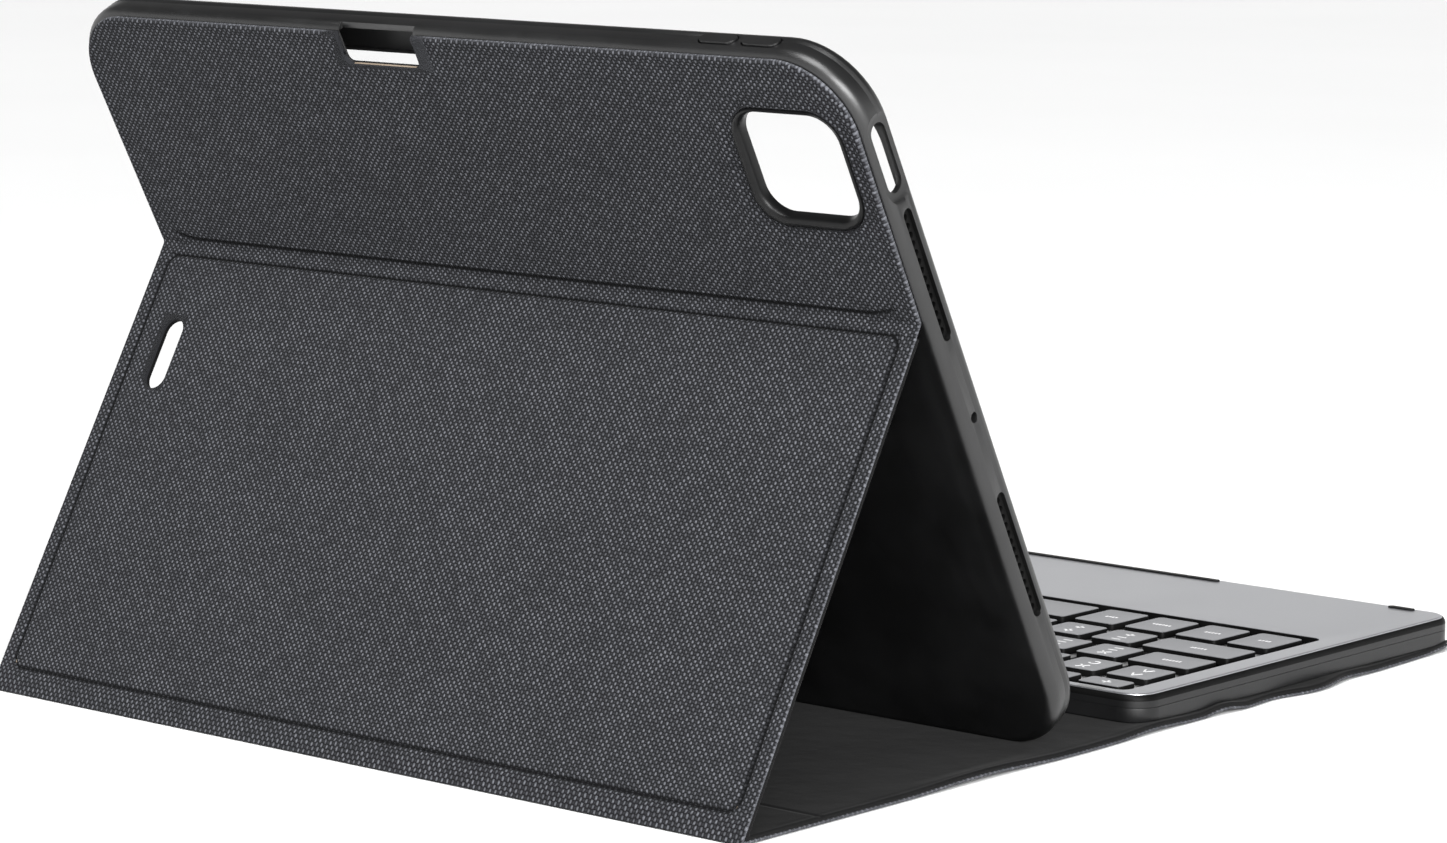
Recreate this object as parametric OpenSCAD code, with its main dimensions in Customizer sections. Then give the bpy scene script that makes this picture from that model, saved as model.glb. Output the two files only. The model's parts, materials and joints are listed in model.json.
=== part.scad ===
// Folio keyboard case for an 11 inch tablet, standing open with its tablet shell propped up.
// +X is the typist's right, +Y points away from the typist and +Z is up.
// The origin is the middle of the footprint, on the desk.
//
// The cover is one long strip of cloth, board and lining. From front to rear it runs under the
// keyboard as the base, turns up at the spine, climbs as the flap, and folds at the hinge line
// into the panel that is bonded to the back of the tablet shell.

/* [Stand] */
// Length from the front edge of the base to the rear fold
case_depth = 298; // [294:1:304]
// Lean of the tablet shell back from upright, in degrees
shell_lean = 27.7; // [25:0.1:29]

/* [Cover] */
// Width of the base, spine and flap
cover_w = 250.4; // [248:0.2:252]
// Length of the flap, from the rear fold to the hinge line
flap_len = 123.1; // [122:0.1:125]
// Length of the spine strip between its two folds
spine_len = 26.5; // [22:0.5:30]
// Thickness of the woven outer cloth
cloth_t = 0.5; // [0.4:0.1:0.6]
// Thickness of the stiffening board
board_t = 0.9; // [0.7:0.1:1]
// Thickness of the microfibre lining
lining_t = 0.4; // [0.3:0.1:0.5]
// Margin between a board and the cover's edge
hem = 5; // [4:0.5:7]
// Length of the finger slot in the flap
finger_slot_len = 19.5; // [16:0.5:24]
// Width of the finger slot
finger_slot_w = 7.2; // [6:0.2:9]

/* [Tablet shell] */
// Outside width of the shell
shell_w = 254.8; // [254.4:0.2:257]
// Outside height of the shell
shell_h = 193; // [192.6:0.2:195]
// Thickness of the moulded shell, without the panel on its back
shell_t = 9.1; // [8.8:0.1:9.6]
// Corner radius of the shell, seen from the front
shell_corner = 20; // [18:0.5:22]
// Height of the hinge line above the bottom edge of the shell
hinge_s = 122.5; // [121:0.5:124]
// Width of the tablet pocket
pocket_w = 249.8; // [249:0.2:250]
// Height of the tablet pocket
pocket_h = 177.7; // [177:0.1:178]
// Depth of the tablet pocket
pocket_t = 6.9; // [6.6:0.1:7]
// Diameter of the microphone hole
mic_d = 2.6; // [2:0.1:3]

/* [Keyboard] */
// Width of the keyboard
kb_w = 246; // [242:0.2:247]
// Depth of the keyboard
kb_d = 144.8; // [144.8:0.2:147]
// Thickness of the keyboard
kb_t = 7.2; // [7.2:0.1:7.6]
// Corner radius of the keyboard
kb_corner = 7.5; // [7:0.5:10]
// Width that the keys fill
field_w = 224.4; // [222:0.2:225]
// Gap between neighbouring keys
key_gap = 3.3; // [2.8:0.1:3.6]
// Travel of a key
key_travel = 1.2; // [0.8:0.1:1.2]

/* [Hidden] */
$fn = 48;
hull_fn = 32;
eps = 0.01;
tiny_gap = 0.05;

// Colours
cloth_colour = [0.22, 0.22, 0.235];
lining_colour = [0.13, 0.13, 0.14];
board_colour = [0.45, 0.42, 0.38];
shell_colour = [0.12, 0.12, 0.13];
black_plastic = [0.06, 0.06, 0.065];
deck_colour = [0.68, 0.69, 0.71];
key_colour = [0.72, 0.73, 0.75];
steel_colour = [0.62, 0.63, 0.65];

// Cover sheet: cloth, board and lining together
sheet_t = cloth_t + board_t + lining_t;
half_t = sheet_t / 2;
fold_rod_r = half_t - tiny_gap;
base_corner = 8;
groove_w = 1.2;
groove_depth = 0.25;
groove_corner = 4;

// Folds: each axis runs along X through the middle of the sheet
base_front_y = -case_depth / 2;
fold_y = case_depth / 2 - fold_rod_r;
fold_z = half_t;
crease_y = fold_y - spine_len;
crease_gap = 1.15;
fold_gap = 1.75;
hinge_gap = 1.25;

// Tablet shell, in its own upright frame: x, t from the back panel forwards, s upwards
panel_t = 1.1;
panel_cloth_t = 0.5;
shell_back_t = panel_t;
shell_front_t = panel_t + shell_t;
shell_edge_r = shell_t / 2 - 0.25;
back_wall = 1;
pocket_back_t = shell_back_t + back_wall;
pocket_s = 5.2;
pocket_corner = 17;
screen_lip = 1.8;
hinge_t = shell_back_t - half_t - 0.15;
rest_clearance = 0.1;
// The lowest point of the leaning shell is on its rounded bottom edge
lowest_below_hinge = (hinge_s - shell_edge_r) * cos(shell_lean)
    - (shell_back_t + shell_edge_r - hinge_t) * sin(shell_lean) + shell_edge_r;
hinge_z = sheet_t + rest_clearance + lowest_below_hinge;
flap_angle = asin((hinge_z - fold_z) / flap_len);
hinge_y = fold_y - flap_len * cos(flap_angle);

// Panel on the back of the shell
panel_side_inset = 2.2;
panel_top_inset = 1.4;
panel_corner = shell_corner - 1.5;
panel_bottom_s = hinge_s + hinge_gap;

// Camera window
cam_x = -104.6;
cam_s = 163.4;
cam_w = 32;
cam_h = 31;
cam_corner = 8.5;
cam_rim_wide = 2.6;
cam_rim_narrow = 1;
cam_rim_height = 1;
cam_cloth_gap = 0.2;
cam_offset = (cam_rim_wide - cam_rim_narrow) / 2;

// Pen channel along the top of the tablet, and the notch that opens it to the back
pen_x0 = -78;
pen_x1 = 90;
pen_s0 = pocket_s + pocket_h;
pen_s1 = shell_h - 1.8;
pen_back_t = shell_back_t + 0.5;
pen_front_t = shell_front_t - 0.7;
notch_x0 = 4.5;
notch_x1 = 29.3;
notch_s = 183;
notch_t = 3;

// Openings in the short sides of the shell, placed from the middle of the tablet
side_mid_s = 95.2;
side_mid_t = 5.4;
speaker_len = 35;
speaker_w = 3.2;
speaker_offset = 38.7;
grille_depth = 1.3;
grille_hole_d = 1.7;
grille_pitch = 2.33;
grille_holes = 14;
power_len = 17.6;
power_w = 5.2;
power_s = 164.7;
power_relief_depth = 0.9;
port_len = 14;
port_w = 6;

// Volume buttons in the top edge
volume_len = 11.2;
volume_w = 4.2;
volume_recess = 1.2;
volume_t = 5.4;
volume_x = [-88.5, -101.1];
volume_play = 0.35;
volume_travel = 0.5;

// Finger slot in the flap
finger_slot_x = 109.3;
finger_slot_z = 93.4;

// Keyboard levels, upwards
kb_front_y = base_front_y + 0.5;
kb_rear_y = kb_front_y + kb_d;
kb_bottom_z = sheet_t + 0.1;
kb_top_z = kb_bottom_z + kb_t;
kb_deck_t = 0.8;
deck_inset = 0.9;
foot_inset = 13.2;
kb_deck_z = kb_top_z - kb_deck_t;
kb_split_z = kb_bottom_z + 3.7;
kb_wall = 1.8;
kb_floor = 1;
kb_floor_z = kb_bottom_z + kb_floor;
upper_web = 0.8;
plate_z = kb_split_z - 0.3;
plate_t = 0.4;
membrane_t = 0.25;
membrane_z = plate_z + plate_t;
support_z = membrane_z + membrane_t;

// Key well, measured from the keyboard's rear edge towards the typist
well_d0 = 3.9;
well_d1 = 92.3;
well_w = 230.4;
well_corner = 3;

// Keys
key_units = 14;
key_pitch = (field_w + key_gap) / key_units;
key_row_gap = 4.5;
key_height = 1.8;
key_top_z = kb_top_z + 0.2;
key_bottom_z = key_top_z - key_height;
key_roof = 0.85;
key_wall = 0.8;
key_corner = 1.3;
row_start = 5.6;
row_depths = [7.4, 13.2, 13.2, 13.2, 17];
row_units = [
    [for (i = [1:14]) 1],
    [for (i = [1:14]) 1],
    concat([1.375], [for (i = [1:11]) 1], [1.625]),
    concat([1.875], [for (i = [1:10]) 1], [2.125]),
    [1, 1, 1, 1, 5, 1, 1, 1, 1, 1]
];
space_row = 4;
arrow_pair = 8;
arrow_split = 1.6;

// Inside the palm rest
cell_size = [70, 36, 3];
cell_x = [-76, -2];
palm_mid_d = 118;
board_size = [64, 34, 1];
board_x = 82;
port_size = [7.3, 8.9, 2.5];
port_z_above_floor = 1.35;
port_d = 118;
switch_d = 104;
switch_travel = 2.5;

// Screws that close the keyboard
screw_palm_x = [-115, -39, 40, 115];
screw_palm_d = 97.6;
screw_front_d = 139.4;
screw_key_x = [-73.2, 73.2];
screw_key_d = [15.2, 50.8];
screw_r = 0.8;
screw_head_r = 1.6;
screw_head_t = 0.7;
boss_r = 2.3;

function sum_to(list, n) = n <= 0 ? 0 : list[n - 1] + sum_to(list, n - 1);
function row_d(row) = row_start + sum_to(row_depths, row) + row * key_row_gap;
function key_x0(row, i) = -field_w / 2 + sum_to(row_units[row], i) * key_pitch;
function key_w(row, i) = row_units[row][i] * key_pitch - key_gap;
function board_y(d) = kb_rear_y - d;

// Every key as [centre x, centre y, width, depth]; the up and down arrows share one place
function keys_of(row) = [
    for (i = [0:len(row_units[row]) - 1])
        let (x = key_x0(row, i) + key_w(row, i) / 2, d0 = row_d(row), depth = row_depths[row])
        each (row == space_row && i == arrow_pair)
            ? [
                [x, board_y(d0 + (depth - arrow_split) / 4), key_w(row, i), (depth - arrow_split) / 2],
                [x, board_y(d0 + depth - (depth - arrow_split) / 4), key_w(row, i),
                    (depth - arrow_split) / 2]
            ]
            : [[x, board_y(d0 + depth / 2), key_w(row, i), depth]]
];

// ---- Shapes that repeat ----

// Rectangle with round corners, centred
module rounded_rect(w, h, r) {
    square([w - 2 * r, h], center = true);
    square([w, h - 2 * r], center = true);
    for (sx = [-1, 1], sy = [-1, 1])
        translate([sx * (w / 2 - r), sy * (h / 2 - r)]) circle(r);
}

// Slot with round ends, long way along Y, centred
module stadium(len, w) {
    square([w, len - w], center = true);
    for (s = [-1, 1]) translate([0, s * (len - w) / 2]) circle(w / 2);
}

// Moves children from the shell's upright frame to where the shell leans
module at_shell() {
    translate([0, hinge_y, hinge_z]) rotate([-shell_lean, 0, 0])
        translate([0, hinge_t, -hinge_s]) children();
}

// Moves children from the flap's own frame, z along the flap and y outwards, into place
module at_flap() {
    translate([0, fold_y, fold_z]) rotate([90 - flap_angle, 0, 0]) children();
}

// Extrudes an outline drawn in the shell's (x, s) plane between two depths
module shell_layer(t0, t1) {
    translate([0, -t0, 0]) rotate([90, 0, 0]) linear_extrude(t1 - t0) children();
}

// Extrudes an outline drawn in the flap's (x, z) plane between two levels of its thickness
module flap_layer(y0, y1) {
    translate([0, y1, 0]) rotate([90, 0, 0]) linear_extrude(y1 - y0) children();
}

// Rod that stands for the bent cloth at a fold
module fold_rod(w) {
    rotate([0, 90, 0]) cylinder(h = w, r = fold_rod_r, center = true);
}

// Outline of the base: round corners at the front, square at the spine
module base_outline(inset) {
    length = crease_y - crease_gap - base_front_y - 2 * inset;
    translate([0, base_front_y + inset + length / 2]) {
        rounded_rect(cover_w - 2 * inset, length, base_corner - min(inset, 3));
        translate([0, length / 4]) square([cover_w - 2 * inset, length / 2], center = true);
    }
}

// Outline of the spine strip between its folds
module spine_outline(inset_x, inset_y) {
    translate([0, (crease_y + fold_y) / 2])
        square([cover_w - 2 * inset_x, spine_len - 2 * inset_y], center = true);
}

// Outline of the flap, from above the rear fold to below the hinge line, with its finger slot
module flap_outline(inset, slot_grow) {
    z0 = fold_gap + inset;
    z1 = flap_len - hinge_gap - inset;
    difference() {
        translate([0, (z0 + z1) / 2]) square([cover_w - 2 * inset, z1 - z0], center = true);
        translate([finger_slot_x, finger_slot_z])
            stadium(finger_slot_len + 2 * slot_grow, finger_slot_w + 2 * slot_grow);
    }
}

// Outline of the panel on the shell's back, with its window and notch cut out
module panel_outline(inset, window_gap) {
    w = shell_w - 2 * (panel_side_inset + inset);
    top = shell_h - panel_top_inset - inset;
    bottom = panel_bottom_s + inset;
    difference() {
        union() {
            translate([0, (top + bottom) / 2]) rounded_rect(w, top - bottom, panel_corner - inset);
            translate([0, bottom + panel_corner]) square([w, 2 * panel_corner], center = true);
        }
        translate([cam_x, cam_s])
            rounded_rect(cam_w + 2 * window_gap, cam_h + 2 * window_gap, cam_corner + window_gap);
        translate([notch_x0 - window_gap, notch_s - window_gap])
            square([notch_x1 - notch_x0 + 2 * window_gap, shell_h]);
    }
}

// Outline of the keyboard, shrunk by an inset
module kb_outline(inset) {
    translate([0, (kb_front_y + kb_rear_y) / 2])
        rounded_rect(kb_w - 2 * inset, kb_d - 2 * inset, kb_corner - inset);
}

// Outline of the key well, grown by a margin
module well_outline(margin) {
    translate([0, board_y((well_d0 + well_d1) / 2)])
        rounded_rect(well_w + 2 * margin, well_d1 - well_d0 + 2 * margin, well_corner + margin);
}

// Centres of the screws at the palm rest, then of those under the keys
module at_palm_screws() {
    for (x = screw_palm_x) translate([x, board_y(screw_palm_d)]) children();
    for (x = [screw_palm_x[0], screw_palm_x[3]]) translate([x, board_y(screw_front_d)]) children();
}

module at_key_screws() {
    for (x = screw_key_x, d = screw_key_d) translate([x, board_y(d)]) children();
}

// Where the magnets sit: a row under the keyboard's rear and a row under its front
module at_magnets() {
    for (x = [-96, -32, 32, 96], d = [24, 128]) translate([x, board_y(d)]) children();
}

// ---- Base ----

module base_cloth() {
    color(cloth_colour) linear_extrude(cloth_t) base_outline(0);
}

module base_board() {
    color(board_colour) translate([0, 0, cloth_t]) linear_extrude(board_t)
        difference() {
            base_outline(hem);
            at_magnets() circle(6.1);
        }
}

module base_lining() {
    color(lining_colour) {
        translate([0, 0, cloth_t + board_t]) linear_extrude(lining_t) base_outline(0);
        translate([0, 0, cloth_t]) linear_extrude(board_t)
            difference() {
                base_outline(0);
                base_outline(hem - 0.1);
            }
    }
}

module base_magnets() {
    color(steel_colour) translate([0, 0, cloth_t]) linear_extrude(board_t) at_magnets() circle(6);
}

// ---- Spine ----

module spine_cloth() {
    color(cloth_colour) {
        linear_extrude(cloth_t) spine_outline(0, 0);
        for (y = [crease_y, fold_y]) translate([0, y, fold_z]) fold_rod(cover_w);
    }
}

module spine_board() {
    color(board_colour) translate([0, 0, cloth_t]) linear_extrude(board_t) spine_outline(hem, 4);
}

module spine_lining() {
    color(lining_colour) {
        translate([0, 0, cloth_t + board_t]) linear_extrude(lining_t) spine_outline(0, 1.2);
        translate([0, 0, cloth_t]) linear_extrude(board_t)
            difference() {
                spine_outline(0, 1.2);
                spine_outline(hem - 0.1, 3.9);
            }
    }
}

// ---- Flap ----

module flap_cloth() {
    color(cloth_colour) at_flap() {
        difference() {
            flap_layer(half_t - cloth_t, half_t) flap_outline(0, 0);
            flap_layer(half_t - groove_depth, half_t + 1)
                difference() {
                    flap_outline(hem - groove_w, 3);
                    flap_outline(hem, 3);
                }
        }
        translate([0, 0, flap_len]) fold_rod(cover_w);
        translate([0, half_t - cloth_t / 2, flap_len - hinge_gap / 2 - 0.1])
            cube([cover_w, cloth_t, hinge_gap], center = true);
    }
}

module flap_board() {
    color(board_colour) at_flap()
        flap_layer(lining_t - half_t, half_t - cloth_t) flap_outline(hem, 2);
}

module flap_lining() {
    color(lining_colour) at_flap() {
        flap_layer(-half_t, lining_t - half_t) flap_outline(0, 0);
        flap_layer(lining_t - half_t, half_t - cloth_t)
            difference() {
                flap_outline(0, 0);
                flap_outline(hem - 0.1, 1.9);
            }
    }
}

// ---- Panel and tablet shell ----

module panel_cloth() {
    color(cloth_colour) at_shell()
        difference() {
            shell_layer(0, panel_cloth_t) panel_outline(0, cam_cloth_gap);
            shell_layer(-1, groove_depth)
                translate([0, panel_bottom_s + 2.2]) square([shell_w - 16, groove_w], center = true);
        }
}

module panel_board() {
    color(board_colour) at_shell()
        shell_layer(panel_cloth_t, panel_t) panel_outline(1.5, cam_cloth_gap);
}

// Outside of the shell: a slab with a round edge all the way round
module shell_body() {
    hull()
        for (sx = [-1, 1], s = [shell_corner, shell_h - shell_corner])
            translate([sx * (shell_w / 2 - shell_corner), 0, s]) rotate([90, 0, 0])
                rotate_extrude($fn = hull_fn) {
                    translate([0, shell_back_t]) square([shell_corner - shell_edge_r, shell_t]);
                    translate([shell_corner - shell_edge_r, shell_back_t + shell_edge_r])
                        circle(shell_edge_r, $fn = hull_fn);
                    translate([shell_corner - shell_edge_r, shell_front_t - shell_edge_r])
                        circle(shell_edge_r, $fn = hull_fn);
                }
}

// Speaker grille in a short side of the shell: a shallow slot with a row of round holes in its floor
module speaker_grille(side, s) {
    translate([side * shell_w / 2, -side_mid_t, s]) rotate([90, 0, 90]) {
        linear_extrude(2 * grille_depth, center = true) stadium(speaker_len, speaker_w);
        for (i = [0:grille_holes - 1])
            translate([0, (i - (grille_holes - 1) / 2) * grille_pitch])
                cylinder(h = 12, d = grille_hole_d, center = true, $fn = 20);
    }
}

// Stadium hole through a short side of the shell, long way along the side
module side_slot(side, s, t, len, w) {
    translate([side * shell_w / 2, -t, s]) rotate([90, 0, 90])
        linear_extrude(24, center = true) stadium(len, w);
}

// Shallow scoop in the side around the power button's opening
module power_relief() {
    long = power_len + 4.4;
    short = power_len - 1;
    translate([-shell_w / 2, -(shell_back_t + 1.8), power_s]) rotate([90, 0, 0])
        linear_extrude(shell_t)
            polygon([
                [-1, -long / 2], [0, -long / 2], [power_relief_depth, -short / 2],
                [power_relief_depth, short / 2], [0, long / 2], [-1, long / 2]
            ]);
}

// Recess for one volume button, and the way in for its stem
module volume_recess(x) {
    translate([x, -volume_t, shell_h - volume_recess]) linear_extrude(5)
        rotate(90) stadium(volume_len, volume_w);
    translate([x, -volume_t, pocket_s + pocket_h - 2]) linear_extrude(14)
        square([8, 2], center = true);
}

module tablet_shell() {
    color(shell_colour) at_shell()
        difference() {
            union() {
                shell_body();
                shell_layer(-cam_rim_height, shell_back_t + eps + 0.4) translate([cam_x, cam_s])
                    rounded_rect(cam_w, cam_h, cam_corner);
            }
            // pocket for the tablet, and the opening over its screen
            shell_layer(pocket_back_t, pocket_back_t + pocket_t)
                translate([0, pocket_s + pocket_h / 2])
                    rounded_rect(pocket_w, pocket_h, pocket_corner);
            shell_layer(pocket_back_t + pocket_t - eps, shell_front_t + 1)
                translate([0, pocket_s + pocket_h / 2])
                    rounded_rect(pocket_w - 2 * screen_lip, pocket_h - 2 * screen_lip,
                        pocket_corner - screen_lip);
            // pen channel and notch
            translate([pen_x0, -pen_front_t, pen_s0 - 1])
                cube([pen_x1 - pen_x0, pen_front_t - pen_back_t, pen_s1 - pen_s0 + 1]);
            translate([notch_x0, -notch_t, notch_s])
                cube([notch_x1 - notch_x0, notch_t + 5, shell_h]);
            // camera window
            shell_layer(-cam_rim_height - 1, pocket_back_t + 1)
                translate([cam_x - cam_offset, cam_s + cam_offset])
                    rounded_rect(cam_w - cam_rim_wide - cam_rim_narrow,
                        cam_h - cam_rim_wide - cam_rim_narrow, cam_corner - 1.8);
            // short sides
            for (side = [-1, 1], dir = [-1, 1])
                speaker_grille(side, side_mid_s + dir * speaker_offset);
            side_slot(1, side_mid_s, side_mid_t, port_len, port_w);
            side_slot(-1, power_s, side_mid_t, power_len, power_w);
            translate([-shell_w / 2, -side_mid_t, side_mid_s]) rotate([0, 90, 0])
                cylinder(h = 24, d = mic_d, center = true);
            power_relief();
            // top edge
            for (x = volume_x) volume_recess(x);
        }
}

// One volume button: a pad in the recess on a stem that reaches the tablet
module volume_button(x) {
    pad_len = volume_len - 2 * volume_play;
    pad_w = volume_w - 2 * volume_play;
    color(shell_colour) at_shell() translate([x, -volume_t, 0]) {
        translate([0, 0, shell_h - volume_recess + volume_travel + 0.1]) linear_extrude(1)
            rotate(90) stadium(pad_len, pad_w);
        translate([0, 0, pocket_s + pocket_h + volume_travel + 0.1])
            linear_extrude(shell_h - volume_recess - pocket_s - pocket_h + 0.2)
                square([7.6, 1.6], center = true);
    }
}

module volume_up_button() {
    volume_button(volume_x[0]);
}

module volume_down_button() {
    volume_button(volume_x[1]);
}

// ---- Keyboard housing ----

module keyboard_bottom_case() {
    color(black_plastic) difference() {
        union() {
            translate([0, 0, kb_bottom_z]) linear_extrude(kb_floor) kb_outline(0.4);
            translate([0, 0, kb_bottom_z + 0.3]) linear_extrude(kb_split_z - kb_bottom_z - 0.3)
                difference() {
                    kb_outline(0);
                    kb_outline(kb_wall);
                }
            translate([0, 0, kb_floor_z - eps]) linear_extrude(plate_z - kb_floor_z)
                at_key_screws() circle(boss_r);
            translate([0, 0, kb_floor_z - eps]) linear_extrude(kb_split_z - kb_floor_z - 0.05)
                at_palm_screws() circle(boss_r);
        }
        screw_holes(kb_split_z);
        // pockets for the feet
        translate([0, 0, kb_bottom_z - 1]) linear_extrude(1.4) at_feet() circle(4.1);
        // side openings for the charging port and the power switch
        translate([kb_w / 2, board_y(port_d), kb_floor_z + port_z_above_floor]) rotate([90, 0, 90])
            linear_extrude(8, center = true) rotate(90) stadium(port_size[1] + 0.3, port_size[2] + 0.14);
        translate([kb_w / 2, board_y(switch_d), kb_floor_z + 1.6])
            cube([8, 7, 1.8], center = true);
    }
}

// Clearance holes and head recesses of every screw
module screw_holes(top_z) {
    translate([0, 0, kb_bottom_z - 1]) linear_extrude(top_z - kb_bottom_z + 2) {
        at_palm_screws() circle(screw_r + 0.1);
        at_key_screws() circle(screw_r + 0.1);
    }
    translate([0, 0, kb_bottom_z - 1]) linear_extrude(1 + screw_head_t) {
        at_palm_screws() circle(screw_head_r + 0.1);
        at_key_screws() circle(screw_head_r + 0.1);
    }
}

module keyboard_upper_case() {
    color(black_plastic) difference() {
        union() {
            translate([0, 0, kb_split_z]) linear_extrude(kb_deck_z - kb_split_z)
                difference() {
                    kb_outline(0);
                    kb_outline(kb_wall);
                }
            translate([0, 0, kb_deck_z - upper_web]) linear_extrude(upper_web)
                difference() {
                    kb_outline(0);
                    well_outline(0);
                }
            // wall between the keys and the palm rest
            translate([0, board_y(well_d1 + 1), (kb_split_z + kb_deck_z) / 2])
                cube([kb_w - 4, 1.2, kb_deck_z - kb_split_z], center = true);
            translate([0, 0, kb_split_z]) linear_extrude(kb_deck_z - kb_split_z)
                at_palm_screws() circle(boss_r);
        }
        translate([0, 0, kb_split_z - 1]) linear_extrude(2.4) at_palm_screws() circle(screw_r + 0.1);
    }
}

module keyboard_deck() {
    color(deck_colour) translate([0, 0, kb_deck_z]) linear_extrude(kb_deck_t)
        difference() {
            kb_outline(deck_inset);
            well_outline(0);
            deck_slots(0.05);
            translate([-106.4, board_y(2.1)]) rotate(90) stadium(8.1, 1.7);
        }
}

// Outlines of the bumpers set into the deck's front edge
module deck_slots(grow) {
    translate([0, board_y(kb_d - 2.6)]) rotate(90) stadium(96 + 2 * grow, 2 + 2 * grow);
    for (s = [-1, 1]) translate([s * 107.4, board_y(kb_d - 2.6)]) rotate(90)
        stadium(8 + 2 * grow, 2 + 2 * grow);
}

module deck_bumpers() {
    color(black_plastic) translate([0, 0, kb_deck_z]) linear_extrude(kb_deck_t + 0.35) deck_slots(0);
}

module status_window() {
    color([0.1, 0.1, 0.1]) translate([-106.4, board_y(2.1), kb_deck_z]) linear_extrude(kb_deck_t)
        rotate(90) stadium(8, 1.6);
}

module at_feet() {
    for (sx = [-1, 1], d = [9, kb_d - 9]) translate([sx * (kb_w / 2 - foot_inset), board_y(d)]) children();
}

module keyboard_feet() {
    color(shell_colour) translate([0, 0, kb_bottom_z - 0.05]) linear_extrude(0.4) at_feet() circle(4);
}

module case_screws() {
    color(steel_colour) {
        translate([0, 0, kb_bottom_z + 0.1]) linear_extrude(screw_head_t - 0.15) {
            at_palm_screws() circle(screw_head_r);
            at_key_screws() circle(screw_head_r);
        }
        translate([0, 0, kb_bottom_z + 0.1]) linear_extrude(kb_split_z - kb_bottom_z + 0.6) {
            at_palm_screws() circle(screw_r);
            at_key_screws() circle(screw_r);
        }
    }
}

// ---- Inside the keyboard ----

// Outline of the plate and membrane under the keys
module plate_outline() {
    difference() {
        translate([0, board_y((kb_wall + well_d1) / 2 + 0.15)])
            rounded_rect(kb_w - 2 * kb_wall - 1, well_d1 - kb_wall - 0.9, 6);
        at_key_screws() circle(screw_r + 0.1);
    }
}

module key_plate() {
    color(steel_colour) translate([0, 0, plate_z]) linear_extrude(plate_t) plate_outline();
}

module key_membrane() {
    color([0.75, 0.72, 0.5]) translate([0, 0, membrane_z + eps]) linear_extrude(membrane_t - eps)
        plate_outline();
}

module circuit_board() {
    color([0.05, 0.3, 0.12]) translate([board_x, board_y(palm_mid_d), kb_floor_z + 0.4 + board_size[2] / 2])
        difference() {
            cube(board_size, center = true);
            translate([board_size[0] / 2 - 3, 14, 0]) cube([9, 8, 4], center = true);
            translate([board_size[0] / 2 - 3, 0, 0]) cube([9, 11, 4], center = true);
        }
}

module battery_cells() {
    color([0.5, 0.52, 0.55]) for (x = cell_x)
        translate([x, board_y(palm_mid_d), kb_floor_z + 0.2 + cell_size[2] / 2])
            cube(cell_size, center = true);
}

module keyboard_magnets() {
    color(steel_colour) translate([0, 0, kb_floor_z + 0.05]) linear_extrude(1.4)
        for (x = [-96, -32, 32, 96]) translate([x, board_y(24)]) circle(6);
}

// Metal shell of the charging port, open to the outside
module charge_port() {
    color(steel_colour)
        translate([kb_w / 2 - port_size[0] / 2 - 0.3, board_y(port_d), kb_floor_z + port_z_above_floor])
            rotate([90, 0, 90]) difference() {
                linear_extrude(port_size[0], center = true)
                    rotate(90) stadium(port_size[1], port_size[2]);
                translate([0, 0, 0.6]) linear_extrude(port_size[0], center = true)
                    rotate(90) stadium(port_size[1] - 0.7, port_size[2] - 0.7);
            }
}

module power_switch_body() {
    color(black_plastic) translate([kb_w / 2 - kb_wall - 2.2, board_y(switch_d), kb_floor_z + 1.6])
        cube([3.6, 7, 2.6], center = true);
}

module power_switch_knob() {
    color(steel_colour)
        translate([kb_w / 2 - kb_wall + 1, board_y(switch_d) - switch_travel / 2, kb_floor_z + 1.6])
            cube([2.4, 3, 1.2], center = true);
}

// ---- Keys ----

module keycap(w, d) {
    difference() {
        translate([0, 0, key_bottom_z]) linear_extrude(key_height) rounded_rect(w, d, key_corner);
        translate([0, 0, key_bottom_z - 1]) linear_extrude(key_height - key_roof + 1)
            square([w - 2 * key_wall, d - 2 * key_wall], center = true);
    }
}

module row_of_keys(row) {
    color(key_colour) for (k = keys_of(row)) translate([k[0], k[1]]) keycap(k[2], k[3]);
}

// Rubber dome under each key
module row_of_domes(row) {
    height = key_top_z - key_roof - support_z - 2 * tiny_gap;
    color([0.8, 0.8, 0.78]) for (k = keys_of(row))
        translate([k[0], k[1], support_z + eps]) cylinder(h = height, r = min(2.2, k[3] / 5));
}

// Scissor frame round each dome
module row_of_scissors(row) {
    height = key_top_z - key_roof - support_z - 2 * tiny_gap;
    color([0.9, 0.9, 0.88]) for (k = keys_of(row)) {
        d = k[3] - 2 * key_wall - 0.6;
        w = min(k[2] - 2 * key_wall - 0.6, 10.4);
        rail = min(1.1, d / 6);
        translate([k[0], k[1], support_z + eps]) linear_extrude(height)
            difference() {
                square([w, d], center = true);
                square([w - 2 * rail, d - 2 * rail], center = true);
            }
    }
}

base_cloth();
base_board();
base_lining();
base_magnets();
spine_cloth();
spine_board();
spine_lining();
flap_cloth();
flap_board();
flap_lining();
panel_cloth();
panel_board();
tablet_shell();
volume_up_button();
volume_down_button();
keyboard_bottom_case();
keyboard_upper_case();
keyboard_deck();
key_plate();
key_membrane();
circuit_board();
battery_cells();
keyboard_magnets();
charge_port();
power_switch_body();
power_switch_knob();
status_window();
case_screws();
keyboard_feet();
deck_bumpers();
row_of_keys(0);  // number_row_keys
row_of_domes(0);  // number_row_domes
row_of_scissors(0);  // number_row_scissors
row_of_keys(1);  // tab_row_keys
row_of_domes(1);  // tab_row_domes
row_of_scissors(1);  // tab_row_scissors
row_of_keys(2);  // caps_row_keys
row_of_domes(2);  // caps_row_domes
row_of_scissors(2);  // caps_row_scissors
row_of_keys(3);  // shift_row_keys
row_of_domes(3);  // shift_row_domes
row_of_scissors(3);  // shift_row_scissors
row_of_keys(4);  // space_row_keys
row_of_domes(4);  // space_row_domes
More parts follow.
